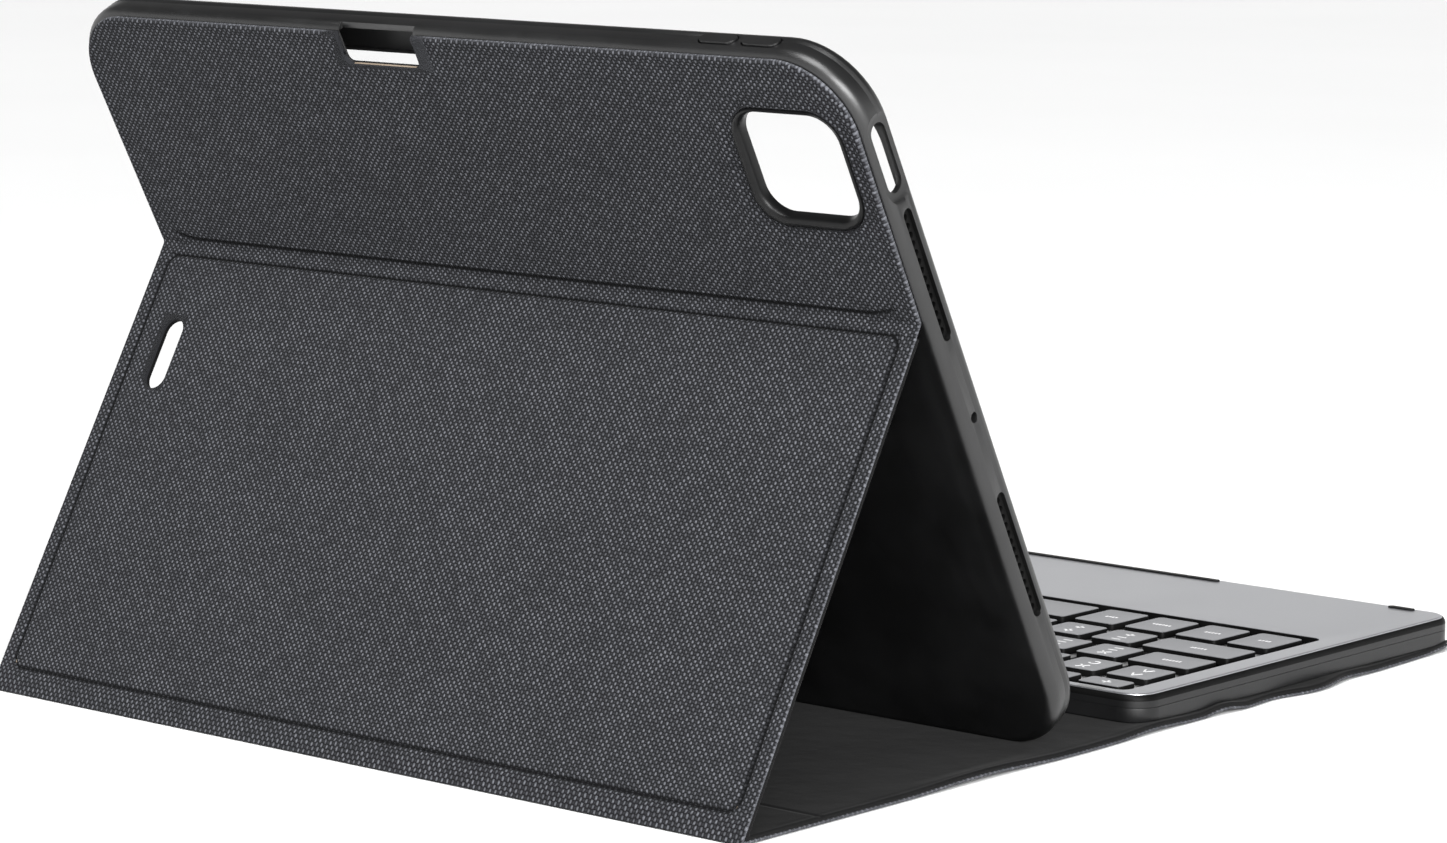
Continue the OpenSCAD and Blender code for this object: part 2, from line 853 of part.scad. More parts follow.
row_of_scissors(4);  // space_row_scissors
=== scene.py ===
import json
import math
import random

import bmesh
import bpy
import numpy as np
from mathutils import Matrix, Vector

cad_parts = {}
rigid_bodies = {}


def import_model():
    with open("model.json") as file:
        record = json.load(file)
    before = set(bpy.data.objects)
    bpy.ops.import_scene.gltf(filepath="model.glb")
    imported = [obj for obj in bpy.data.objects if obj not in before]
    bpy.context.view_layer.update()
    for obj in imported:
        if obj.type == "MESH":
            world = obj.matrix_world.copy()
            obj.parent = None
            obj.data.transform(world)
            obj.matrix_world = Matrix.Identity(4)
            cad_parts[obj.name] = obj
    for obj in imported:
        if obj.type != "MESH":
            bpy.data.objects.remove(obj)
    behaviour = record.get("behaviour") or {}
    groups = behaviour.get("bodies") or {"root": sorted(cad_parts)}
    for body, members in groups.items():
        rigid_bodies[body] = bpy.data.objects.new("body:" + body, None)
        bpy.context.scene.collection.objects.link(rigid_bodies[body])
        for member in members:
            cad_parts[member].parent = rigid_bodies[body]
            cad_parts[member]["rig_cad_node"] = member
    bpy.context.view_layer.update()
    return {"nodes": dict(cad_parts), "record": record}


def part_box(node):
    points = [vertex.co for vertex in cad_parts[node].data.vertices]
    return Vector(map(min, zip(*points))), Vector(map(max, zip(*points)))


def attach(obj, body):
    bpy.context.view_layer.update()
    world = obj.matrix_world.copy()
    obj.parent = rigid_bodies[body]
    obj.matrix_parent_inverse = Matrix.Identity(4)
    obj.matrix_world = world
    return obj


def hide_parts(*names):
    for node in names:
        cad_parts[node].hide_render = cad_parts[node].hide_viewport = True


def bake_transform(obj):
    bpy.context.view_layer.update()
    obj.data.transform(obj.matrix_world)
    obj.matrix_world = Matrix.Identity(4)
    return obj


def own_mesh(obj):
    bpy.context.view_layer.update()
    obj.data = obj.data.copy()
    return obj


# The look of a folding tablet keyboard case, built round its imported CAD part.
# Lengths are in millimetres until a mesh is made. +X is the typist's right, +Y the rear, +Z up.

MM = 0.001
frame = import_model()
joints = {j["name"]: j for j in frame["record"]["behaviour"]["joints"]}


def joint_yz(name):
    """Where a joint's axis crosses the middle of the object, as (y, z)."""
    return np.array(joints[name]["pos_m"][1:], float) / MM


def node_box(name):
    """Lowest and highest corner of a CAD node."""
    low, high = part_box(name)
    return np.array(low) / MM, np.array(high) / MM


# ---- Sizes shared by several pieces ----

SHEET = 1.8                      # cloth, board and lining together
HALF = SHEET / 2
COVER_HALF_W = 125.2
BASE_CORNER = 8.0
SHELL_W, SHELL_H, SHELL_T = 254.8, 193.0, 9.1
SHELL_CORNER = 20.0
SHELL_EDGE = 2.9
HINGE_S, HINGE_T = 122.5, 0.05   # the hinge line in the shell's own frame
SHELL_BACK = 1.1
CAM_X, CAM_S, CAM_W, CAM_H, CAM_R = -104.6, 163.4, 32.0, 31.0, 8.5
CAM_RIM_WIDE, CAM_RIM_NARROW, CAM_PROUD = 2.6, 1.0, 1.0
NOTCH_X0, NOTCH_X1, NOTCH_S = 4.5, 29.3, 183.0
SLOT_X, SLOT_Z, SLOT_LEN, SLOT_W = 109.3, 93.4, 19.5, 7.2
POCKET_W, POCKET_H, POCKET_S0, POCKET_T = 249.8, 177.7, 5.2, 6.9
BACK_WALL, LIP = 1.0, 1.8
SIDE_S, SIDE_T = 95.2, 5.4       # the middle of the tablet's sides, in the shell's own frame
GRILLE_OFF, GRILLE_LEN, GRILLE_W, GRILLE_DEEP = 38.7, 35.0, 3.2, 1.3
HOLE_D, HOLE_PITCH, HOLE_COUNT = 1.7, 2.33, 14
POWER_S = 164.7

crease = joint_yz("spine_fold")
fold = joint_yz("flap_fold")
hinge = joint_yz("back_hinge")
press = np.array(joints["volume_up_press"]["axis"], float)
shell_up = -press[1:] / np.linalg.norm(press[1:])
shell_front = np.array([-shell_up[1], shell_up[0]])
flap_up = (hinge - fold) / np.linalg.norm(hinge - fold)
flap_out = np.array([flap_up[1], -flap_up[0]])
FLAP_LEN = float(np.linalg.norm(hinge - fold))


def shell_point(x, s, t):
    """A point of the leaning shell: x across, s up from its bottom edge, t forwards."""
    x, s, t = np.broadcast_arrays(*(np.asarray(a, float) for a in (x, s, t)))
    yz = hinge + (s - HINGE_S)[..., None] * shell_up + (t - HINGE_T)[..., None] * shell_front
    return np.concatenate([x[..., None], yz], -1)


def flap_point(x, z, out):
    """A point of the flap: x across, z up along it, out from its middle towards the rear."""
    x, z, out = np.broadcast_arrays(*(np.asarray(a, float) for a in (x, z, out)))
    yz = fold + z[..., None] * flap_up + out[..., None] * flap_out
    return np.concatenate([x[..., None], yz], -1)


def smoothstep(a, b, v):
    t = np.clip((np.asarray(v, float) - a) / (b - a), 0, 1)
    return t * t * (3 - 2 * t)


def bump_at(v, centre, half_width):
    """1 at the centre, falling smoothly to 0 half_width away."""
    t = np.clip(np.abs(np.asarray(v, float) - centre) / half_width, 0, 1)
    return (1 - t * t) ** 2


# ---- Materials ----

class Paint:
    """A material and short ways to add nodes to it."""

    def __init__(self, name):
        self.material = bpy.data.materials.new(name)
        self.material.use_nodes = True
        self.tree = self.material.node_tree
        self.bsdf = self.tree.nodes["Principled BSDF"]

    def node(self, kind, settings=None, **inputs):
        n = self.tree.nodes.new("ShaderNode" + kind)
        for key, value in (settings or {}).items():
            setattr(n, key, value)
        for key, value in inputs.items():
            self.feed(n, key.replace("_", " "), value)
        return n

    def feed(self, n, key, value):
        socket = n.inputs[int(key)] if key.isdigit() else n.inputs[key]
        if isinstance(value, bpy.types.NodeSocket):
            self.tree.links.new(value, socket)
        else:
            socket.default_value = value

    def math(self, operation, *values, clamp=False):
        n = self.node("Math", {"operation": operation, "use_clamp": clamp})
        for i, value in enumerate(values):
            self.feed(n, str(i), value)
        return n.outputs[0]

    def mix(self, factor, a, b):
        """A colour between a and b."""
        n = self.node("Mix", {"data_type": "RGBA"})
        for key, value in (("0", factor), ("6", a), ("7", b)):
            self.feed(n, key, value)
        return n.outputs[2]

    def spread(self, value, low, high, to_low=0.0, to_high=1.0):
        n = self.node("MapRange", {"interpolation_type": "SMOOTHSTEP"})
        for i, v in enumerate((value, low, high, to_low, to_high)):
            self.feed(n, str(i), v)
        return n.outputs[0]

    def noise(self, scale, detail=2.0, roughness=0.5, vector=None):
        n = self.node("TexNoise", None, Scale=scale, Detail=detail, Roughness=roughness)
        if vector is None:
            vector = self.node("TexCoord").outputs["Object"]
        self.tree.links.new(vector, n.inputs["Vector"])
        return n.outputs["Fac"]

    def bump(self, height, distance, strength=1.0, under=None):
        n = self.node("Bump", None, Height=height, Distance=distance, Strength=strength)
        if under is not None:
            self.tree.links.new(under, n.inputs["Normal"])
        self.tree.links.new(n.outputs[0], self.bsdf.inputs["Normal"])
        return n.outputs[0]

    def set(self, **inputs):
        for key, value in inputs.items():
            self.feed(self.bsdf, key.replace("_", " "), value)


def grey(value):
    return (value, value, value, 1.0)


def cool(value, blue=0.1):
    """A grey that leans to blue without losing its red."""
    return (value * (1 - blue / 4), value, value * (1 + blue), 1.0)


def woven(name, pitch, dark, light, fleck_share):
    """Plain-woven melange cloth. The attribute "weave" holds its own flat millimetres and how
    close the surface is to a cut edge, less a painted shade that darkens the cloth along its
    grooves."""
    p = Paint(name)
    attribute = p.node("Attribute", {"attribute_name": "weave"})
    xyz = p.node("SeparateXYZ", None, Vector=attribute.outputs["Vector"])
    wander = p.noise(0.35, 2.0, 0.5, attribute.outputs["Vector"])
    cells, parts = [], []
    for axis in ("X", "Y"):
        count = p.math("MULTIPLY_ADD", xyz.outputs[axis], 1 / pitch,
                       p.math("MULTIPLY", wander, 0.8))
        cells.append(p.math("FLOOR", count))
        parts.append(p.math("SINE", p.math("MULTIPLY", p.math("FRACT", count), math.pi)))
    over = p.math("FLOORED_MODULO", p.math("ADD", cells[0], cells[1]), 2.0)
    across = [p.math("POWER", part, 0.7) for part in parts]
    along = [p.math("MULTIPLY_ADD", part, 0.6, 0.4) for part in parts]
    warp = p.math("MULTIPLY", across[0], along[1])
    weft = p.math("MULTIPLY", across[1], along[0])
    height = p.math("ADD", p.math("MULTIPLY", over, warp),
                    p.math("MULTIPLY", p.math("SUBTRACT", 1.0, over), weft))
    cell = p.node("CombineXYZ", None, X=cells[0], Y=cells[1])
    chance = p.node("TexWhiteNoise", {"noise_dimensions": "2D"}, Vector=cell.outputs[0])
    fleck = p.spread(chance.outputs["Value"], 0.0, 1.0, 1 - fleck_share, 1.0)
    fibre = p.noise(2.6, 3.0, 0.6, attribute.outputs["Vector"])
    light_thread = p.math("MULTIPLY", p.math("MULTIPLY", over, p.math("POWER", warp, 1.3)), fleck)
    dark_thread = p.math("MULTIPLY", p.math("SUBTRACT", 1.0, over), p.math("MULTIPLY", weft, 0.16))
    thread = p.math("ADD", light_thread, dark_thread)
    thread = p.math("MULTIPLY", thread, p.spread(fibre, 0.25, 0.7, 0.7, 1.15))
    cloud = p.noise(0.045, 3.0, 0.55, attribute.outputs["Vector"])
    thread = p.math("MULTIPLY", thread, p.spread(cloud, 0.3, 0.7, 0.96, 1.04))
    frayed = p.math("MAXIMUM", xyz.outputs["Z"], 0.0)
    # painted shade: a negative Z of the weave darkens the threads along the grooves
    painted_groove_shade = p.math("MAXIMUM", p.math("MULTIPLY", xyz.outputs["Z"], -1.0), 0.0)
    thread = p.math("MULTIPLY", thread, p.math("MULTIPLY_ADD", painted_groove_shade, -1.0, 1.0))
    worn = p.math("MULTIPLY", frayed, p.spread(fibre, 0.3, 0.6, 0.35, 1.0))
    factor = p.math("ADD", thread, p.math("MULTIPLY", worn, 0.8), clamp=True)
    p.set(Base_Color=p.mix(factor, dark, light), Roughness=0.86, Specular_IOR_Level=0.06,
          Sheen_Weight=0.02, Sheen_Roughness=0.45)
    lumps = p.bump(cloud, 0.0012, 0.08)
    p.bump(height, 0.00028, 0.9, lumps)
    return p.material


def napped(name, dark, light):
    """Smooth brushed lining with faint rubbed patches and wrinkles."""
    p = Paint(name)
    patch = p.noise(38.0, 4.0, 0.6)
    nap = p.noise(2600.0, 2.0, 0.6)
    tone = p.math("ADD", p.spread(patch, 0.35, 0.7, 0.0, 0.7), p.spread(nap, 0.35, 0.65, 0.0, 0.3))
    p.set(Base_Color=p.mix(tone, dark, light), Roughness=p.spread(patch, 0.3, 0.7, 0.72, 0.88),
          Specular_IOR_Level=0.15, Sheen_Weight=0.05, Sheen_Roughness=0.35)
    soft = p.bump(p.noise(55.0, 3.0, 0.55), 0.0016, 0.22)
    p.bump(nap, 0.00006, 0.6, soft)
    return p.material


def moulded(name, dark, light, rough, grain=0.5, grain_size=1800.0, shine=0.5):
    """Moulded rubber or plastic with a fine spark-eroded grain and faint handling marks."""
    p = Paint(name)
    marks = p.noise(45.0, 4.0, 0.62)
    fine = p.noise(grain_size, 2.0, 0.55)
    p.set(Base_Color=p.mix(p.spread(marks, 0.35, 0.7), dark, light), Specular_IOR_Level=shine,
          Roughness=p.spread(marks, 0.3, 0.72, rough - 0.02, rough + 0.03))
    p.bump(fine, 0.00004, grain)
    return p.material


def satin_metal(name, dark, light, rough, metallic=0.85):
    """Bead-blasted and painted metal with a fine sparkle and faint rubbing."""
    p = Paint(name)
    sparkle = p.noise(3000.0, 2.0, 0.7)
    rubbed = p.noise(22.0, 4.0, 0.6)
    tone = p.math("ADD", p.spread(rubbed, 0.3, 0.7, 0.0, 0.6),
                  p.spread(sparkle, 0.3, 0.7, 0.0, 0.4))
    p.set(Base_Color=p.mix(tone, dark, light), Metallic=metallic,
          Roughness=p.spread(rubbed, 0.3, 0.7, rough - 0.015, rough + 0.025))
    p.bump(sparkle, 0.00003, 0.45)
    return p.material


def brushed(name, colour, rough):
    """Sheet metal with grain along X."""
    p = Paint(name)
    where = p.node("TexCoord").outputs["Object"]
    stretched = p.node("Mapping", None, Vector=where, Scale=(60.0, 2400.0, 900.0))
    grain = p.noise(1.0, 3.0, 0.6, stretched.outputs[0])
    dull = tuple(c * 0.72 for c in colour[:3]) + (1.0,)
    p.set(Base_Color=p.mix(p.spread(grain, 0.3, 0.7), dull, colour), Metallic=1.0,
          Roughness=p.spread(grain, 0.3, 0.7, rough, rough + 0.12))
    p.bump(grain, 0.00002, 0.5)
    return p.material


MATERIALS = {
    "cloth": woven("woven_cloth", 0.85, cool(0.002, 0.15), cool(0.138, 0.11), 0.45),
    "lining": napped("brushed_lining", cool(0.003, 0.04), cool(0.006, 0.04)),
    "rubber": moulded("soft_moulding", cool(0.003, 0.05), cool(0.006, 0.05), 0.36, 0.55, shine=0.8),
    "ring": moulded("window_ring", cool(0.003, 0.05), cool(0.005, 0.05), 0.34, 0.4, shine=0.25),
    "black": moulded("black_plastic", grey(0.003), grey(0.005), 0.45, 0.2, shine=0.08),
    "side": moulded("side_plastic", cool(0.006, 0.05), cool(0.009, 0.05), 0.36, 0.4, shine=0.4),
    "bumper": moulded("bumper_rubber", grey(0.003), grey(0.006), 0.5, 0.6, shine=0.1),
    "deck": satin_metal("deck_metal", cool(0.45, 0.05), cool(0.50, 0.05), 0.30),
    "key": satin_metal("key_paint", cool(0.27, 0.05), cool(0.34, 0.05), 0.36, 0.55),
    "mark": moulded("key_marks", grey(0.75), grey(0.85), 0.5, 0.2),
    "board": moulded("raw_fibreboard", (0.18, 0.14, 0.10, 1), (0.30, 0.24, 0.18, 1), 0.85, 1.0,
                     700.0),
    "steel": brushed("sheet_steel", (0.55, 0.55, 0.57, 1), 0.25),
    "membrane": moulded("black_film", grey(0.006), grey(0.010), 0.45, 0.2),
    "board_green": moulded("circuit_varnish", (0.01, 0.08, 0.03, 1), (0.02, 0.14, 0.05, 1), 0.35,
                           0.5),
    "foil": satin_metal("cell_foil", grey(0.5), grey(0.66), 0.28),
    "dome": moulded("dome_rubber", grey(0.42), grey(0.52), 0.55, 0.4),
    "scissor": moulded("scissor_plastic", grey(0.6), grey(0.7), 0.42, 0.3),
    "window": moulded("smoked_window", grey(0.03), grey(0.05), 0.12, 0.05),
}


# ---- Mesh helpers ----

def make_object(name, points, faces, look, weave=None, sharp_deg=35.0, weld=1e-4):
    """A mesh object from points in millimetres. weave gives the cloth's flat coordinates."""
    mesh = bpy.data.meshes.new(name)
    mesh.from_pydata((np.asarray(points, float) * MM).tolist(), [], [list(f) for f in faces])
    if weave is not None:
        attribute = mesh.attributes.new("weave", "FLOAT_VECTOR", "POINT")
        attribute.data.foreach_set("vector", np.asarray(weave, np.float32).ravel())
    obj = bpy.data.objects.new(name, mesh)
    bpy.context.scene.collection.objects.link(obj)
    clean(obj, sharp_deg, weld)
    paint(obj, look)
    return obj


def clean(obj, sharp_deg=35.0, weld=1e-4):
    """Welds doubles, drops slivers and marks the edges that stay sharp."""
    bm = bmesh.new()
    bm.from_mesh(obj.data)
    bmesh.ops.remove_doubles(bm, verts=bm.verts, dist=weld * MM)
    bmesh.ops.dissolve_degenerate(bm, edges=bm.edges, dist=weld * MM)
    bmesh.ops.recalc_face_normals(bm, faces=bm.faces)
    limit = math.radians(sharp_deg)
    for face in bm.faces:
        face.smooth = True
    for edge in bm.edges:
        edge.smooth = len(edge.link_faces) == 2 and edge.calc_face_angle(0.0) < limit
    bm.to_mesh(obj.data)
    bm.free()


def paint(obj, look):
    obj.data.materials.clear()
    obj.data.materials.append(MATERIALS[look])


def second_look(obj, look, chosen):
    """Gives the faces for which chosen(centre, normal) is true a second material."""
    obj.data.materials.append(MATERIALS[look])
    index = len(obj.data.materials) - 1
    for face in obj.data.polygons:
        if chosen(np.array(face.center) / MM, np.array(face.normal)):
            face.material_index = index


def bake_modifiers(obj):
    """Turns the modifiers' result into the mesh itself."""
    graph = bpy.context.evaluated_depsgraph_get()
    mesh = bpy.data.meshes.new_from_object(obj.evaluated_get(graph))
    obj.modifiers.clear()
    obj.data = mesh


def combine(obj, cutters, operation="DIFFERENCE"):
    """Cuts every cutter out of obj, or joins it to obj, and removes the cutters."""
    for cutter in cutters:
        modifier = obj.modifiers.new("cut", "BOOLEAN")
        modifier.operation = operation
        modifier.solver = "EXACT"
        modifier.object = cutter
        bake_modifiers(obj)
        bpy.data.objects.remove(cutter)


def join_all(objects):
    """One object out of several that don't overlap."""
    bm = bmesh.new()
    for o in objects:
        bm.from_mesh(o.data)
    bm.to_mesh(objects[0].data)
    bm.free()
    for o in objects[1:]:
        bpy.data.objects.remove(o)
    return objects[0]


def bevel(obj, width, segments=2, angle_deg=40.0, apply=True):
    modifier = obj.modifiers.new("bevel", "BEVEL")
    modifier.width = width * MM
    modifier.segments = segments
    modifier.limit_method = "ANGLE"
    modifier.angle_limit = math.radians(angle_deg)
    if apply:
        bake_modifiers(obj)


def round_rect(cx, cy, w, h, r, steps=12, side=2):
    """Points of a rectangle with round corners, anticlockwise, with side extra points a side."""
    points = []
    corners = [(1, -1, -90), (1, 1, 0), (-1, 1, 90), (-1, -1, 180)]
    for sx, sy, start in corners:
        ox, oy = cx + sx * (w / 2 - r), cy + sy * (h / 2 - r)
        for k in range(steps + 1):
            a = math.radians(start + 90 * k / steps)
            points.append((ox + r * math.cos(a), oy + r * math.sin(a)))
    if not side:
        return np.array(points)
    spread = []
    for i, p in enumerate(points):
        spread.append(p)
        if i % (steps + 1) == steps:
            q = points[(i + 1) % len(points)]
            for k in range(1, side + 1):
                f = k / (side + 1)
                spread.append((p[0] + (q[0] - p[0]) * f, p[1] + (q[1] - p[1]) * f))
    return np.array(spread)


def loft(rings, close=True):
    """Points and faces of a solid that runs through closed rings of equal count."""
    count = len(rings[0])
    points = np.concatenate([np.asarray(r, float) for r in rings])
    faces = []
    for k in range(len(rings) - 1):
        a, b = k * count, (k + 1) * count
        faces += [(a + i, a + (i + 1) % count, b + (i + 1) % count, b + i) for i in range(count)]
    if close:
        faces.append(tuple(range(count))[::-1])
        faces.append(tuple(range((len(rings) - 1) * count, len(rings) * count)))
    return points, faces


def slab(name, outline, low, high, place):
    """A prism of an outline, used as a cutter. place maps (a, b, depth) to a point."""
    return make_object(name, *loft([[place(a, b, depth) for a, b in outline]
                                    for depth in (low, high)]), "rubber")


def at_height(ring, z):
    """A flat ring of points, lifted to z."""
    return np.column_stack([ring, np.full(len(ring), z)])


def footprint(low, high):
    """Centre and size of a box seen from above, as (x, y, width, depth)."""
    return (low[0] + high[0]) / 2, (low[1] + high[1]) / 2, high[0] - low[0], high[1] - low[1]


# ---- Cover sheets ----

EDGE_STEPS = [0.0, 0.03, 0.12, 0.28, 0.5, 0.8, 1.2, 1.8, 2.4, 3.0, 3.4, 3.8, 4.1, 4.4, 4.7, 5.0,
              5.3, 5.6, 6.0, 6.6, 7.5, 9.0, 11.0]


def across_lines(extra=()):
    """x of the grid lines between the two bands of EDGE_STEPS, in order."""
    return sorted({round(float(x), 3) for x in (*np.linspace(-111, 111, 41), *extra)})


def sheet_rows(rows, half_width, middle, corner=None):
    """x of every grid point. rows gives each row's distance to a cut end, or None."""
    grid = []
    for end in rows:
        w = half_width
        if corner is not None and end is not None and end < corner:
            w = half_width - corner + math.sqrt(max(0.0, corner ** 2 - (corner - end) ** 2))
        left = [-w + d for d in EDGE_STEPS]
        shrink = (w - EDGE_STEPS[-1]) / (half_width - EDGE_STEPS[-1])
        inner = [x * shrink for x in middle]
        grid.append(left + inner + [-x for x in left[::-1]])
    return np.array(grid)


def edge_distance(x, end, half_width, corner):
    """Distance of each grid point to the cut outline."""
    side = half_width - np.abs(x)
    if end is None:
        return side
    d = np.minimum(side, end[:, None])
    if corner is not None:
        cx = np.abs(x) - (half_width - corner)
        cy = corner - end[:, None]
        in_corner = (cx > 0) & (cy > 0)
        d = np.where(in_corner, corner - np.hypot(cx, cy), d)
    return np.maximum(d, 0.0)


def sheet_solid(name, look, x, outer, inner, d, round_r, weave_v, closed_ends, fray=0.0,
                painted_groove_shade=0.0):
    """A closed sheet between two surfaces of (m, n, 3) points, rounded towards its cut edges."""
    m, n = x.shape
    middle = (outer + inner) / 2
    t = np.clip(d / round_r, 0, 1)
    f = np.sqrt(np.clip(1 - (1 - t) ** 2, 0, 1))[..., None]
    top = middle + (outer - middle) * f
    bottom = middle + (inner - middle) * f
    points = np.concatenate([top.reshape(-1, 3), bottom.reshape(-1, 3)])
    faces = []
    for j in range(m - 1):
        for i in range(n - 1):
            a = j * n + i
            faces.append((a, a + 1, a + n + 1, a + n))
            b = a + m * n
            faces.append((b, b + n, b + n + 1, b + 1))
    for j in range(m - 1):
        for i in (0, n - 1):
            a = j * n + i
            faces.append((a, a + n, a + n + m * n, a + m * n))
    for j in (0, m - 1):
        if closed_ends[0 if j == 0 else 1]:
            for i in range(n - 1):
                a = j * n + i
                faces.append((a, a + 1, a + 1 + m * n, a + m * n))
    # Z of the weave: the lighter frayed cut edge, less the painted shade along the grooves
    cut = np.clip(1 - d / 0.25, 0, 1) * fray * 0.8 - painted_groove_shade
    v = np.broadcast_to(np.asarray(weave_v, float)[:, None], x.shape)
    weave = np.stack([x, v, cut], -1).reshape(-1, 3)
    return make_object(name, points, faces, look, np.concatenate([weave, weave]), 50.0)


def corner_path(centre, d0, n0, o0, d1, n1, o1, soft, reach, count):
    """Points along one face of a sheet where it turns at a fold, and their outward normals.
    The face lies o0 along n0 from the centre before the fold, and o1 along n1 after it."""
    a, b = np.linalg.solve(np.array([d0, -d1]).T, n1 * o1 - n0 * o0)
    apex = centre + n0 * o0 + d0 * a
    points = [centre + n0 * o0 - d0 * reach]
    start, end = apex - d0 * soft, apex + d1 * soft
    for u in np.linspace(0, 1, 41):
        points.append((1 - u) ** 2 * start + 2 * u * (1 - u) * apex + u * u * end)
    points.append(centre + n1 * o1 + d1 * reach)
    points = np.array(points)
    run = np.concatenate([[0], np.cumsum(np.linalg.norm(np.diff(points, axis=0), axis=1))])
    at = np.linspace(0, run[-1], count)
    return np.stack([np.interp(at, run, points[:, k]) for k in (0, 1)], -1)


def over_grid(run, x):
    """A row of (y, z) positions, one for each grid line along the sheet, for every point."""
    return np.broadcast_to(run[:, None, :], x.shape + (2,))


def with_x(x, yz):
    """Joins an (m, n) x grid with (m, 2) or (m, n, 2) positions."""
    yz = np.asarray(yz, float)
    if yz.ndim == 2:
        yz = over_grid(yz, x)
    return np.concatenate([x[..., None], yz], -1)


def fine_lines(low, high, dense_low, dense_high, step=4.0):
    """Positions from low to high, close together near the ends that are asked for."""
    close = [0.0, 0.03, 0.12, 0.28, 0.5, 0.8, 1.2, 1.8, 2.6, 3.0, 3.4, 3.8, 4.1, 4.4, 4.7, 5.0, 5.3,
             5.7, 6.2, 7.0, 8.0, 9.5]
    start = [low + c for c in close] if dense_low else [low]
    end = [high - c for c in close[::-1]] if dense_high else [high]
    count = max(2, int((end[0] - start[-1]) / step))
    middle = np.linspace(start[-1], end[0], count + 1)[1:-1]
    return np.array(start + list(middle) + end)


CLOTH_IN = 0.15        # the cloth's hidden face, measured from the middle of the sheet
DOWN = np.array([0.0, -1.0])
REAR = np.array([1.0, 0.0])
FOLD_REACH = 4.0
WEAVE_START = 400      # where the weave of the strut and panel starts, clear of the base's
mid_spine = (crease[0] + fold[0]) / 2
base_front = node_box("base_cloth")[0][1]


def base_edge_wave(x, y):
    """How the limp hem of the base swells outwards and lifts between the board and its edge."""
    right = smoothstep(119.0, 125.2, -x)
    left = smoothstep(119.0, 125.2, x)
    out = 2.6 * bump_at(y, -77, 18) + 0.9 * bump_at(y, -45, 13) + 0.7 * bump_at(y, 24, 34) \
        - 0.4 * (1 - smoothstep(-20, 20, y)) - 1.3 * (1 - smoothstep(-140, -105, y))
    out_left = 1.3 * bump_at(y, -40, 30) + 0.8 * bump_at(y, 40, 26)
    lift = 0.45 * bump_at(y, -90, 18) + 0.9 * bump_at(y, -38, 9) + 0.5 * bump_at(y, -8, 16) \
        + 0.7 * bump_at(y, 62, 30) + 0.9 * bump_at(y, -146, 14)
    lift_left = 0.6 * bump_at(y, -70, 24) + 0.5 * bump_at(y, 10, 22) + 0.7 * bump_at(y, -146, 14)
    return out_left * left - out * right, lift * right + lift_left * left


def base_wrinkles(x, y):
    """Faint folds in the lining, near the crease and where the shell stands."""
    near_crease = smoothstep(60, 112, y) * (1 - smoothstep(116, 121, y))
    near_shell = bump_at(y, 22, 34) * smoothstep(70, 110, -x)
    wave = np.sin(0.21 * y + 0.045 * x + 1.3 * np.sin(0.031 * x)) * 0.10
    fine = np.sin(0.55 * (y + 0.35 * x) + 2.0 * np.sin(0.06 * x)) * 0.16
    return near_crease * wave + near_shell * fine


def build_base():
    y = np.concatenate([fine_lines(base_front, crease[0] - 6, True, False, 3.2),
                        np.linspace(crease[0] - 5, crease[0] + 5, 21),
                        np.linspace(crease[0] + 6, mid_spine, 5)])
    end = y - base_front
    x = sheet_rows(end, COVER_HALF_W, across_lines(), BASE_CORNER)
    d = edge_distance(x, end, COVER_HALF_W, BASE_CORNER)
    yy = np.broadcast_to(y[:, None], x.shape)
    dx, dz = base_edge_wave(x, yy)
    press_line = 0.22 * bump_at(y, crease[0], 1.1)[:, None]
    rim = 0.10 * bump_at(d, 1.7, 0.6)

    def at(level):
        return np.stack([x + dx, yy, level + dz], -1)

    wrinkle = base_wrinkles(x, yy)
    cloth = sheet_solid("base_cover_cloth", "cloth", x, at(np.zeros(x.shape) + 0.5 * rim),
                        at(np.full(x.shape, HALF - CLOTH_IN)), d, 0.42, y, (False, True), 0.8)
    lining = sheet_solid("base_cover_lining", "lining", x,
                         at(SHEET - press_line - rim + np.minimum(wrinkle, 0.0) * 0.6),
                         at(np.full(x.shape, HALF - CLOTH_IN)), d, 0.5, y, (False, True))
    for piece, node in ((cloth, "base_cloth"), (lining, "base_lining")):
        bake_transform(piece)
        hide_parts(node)


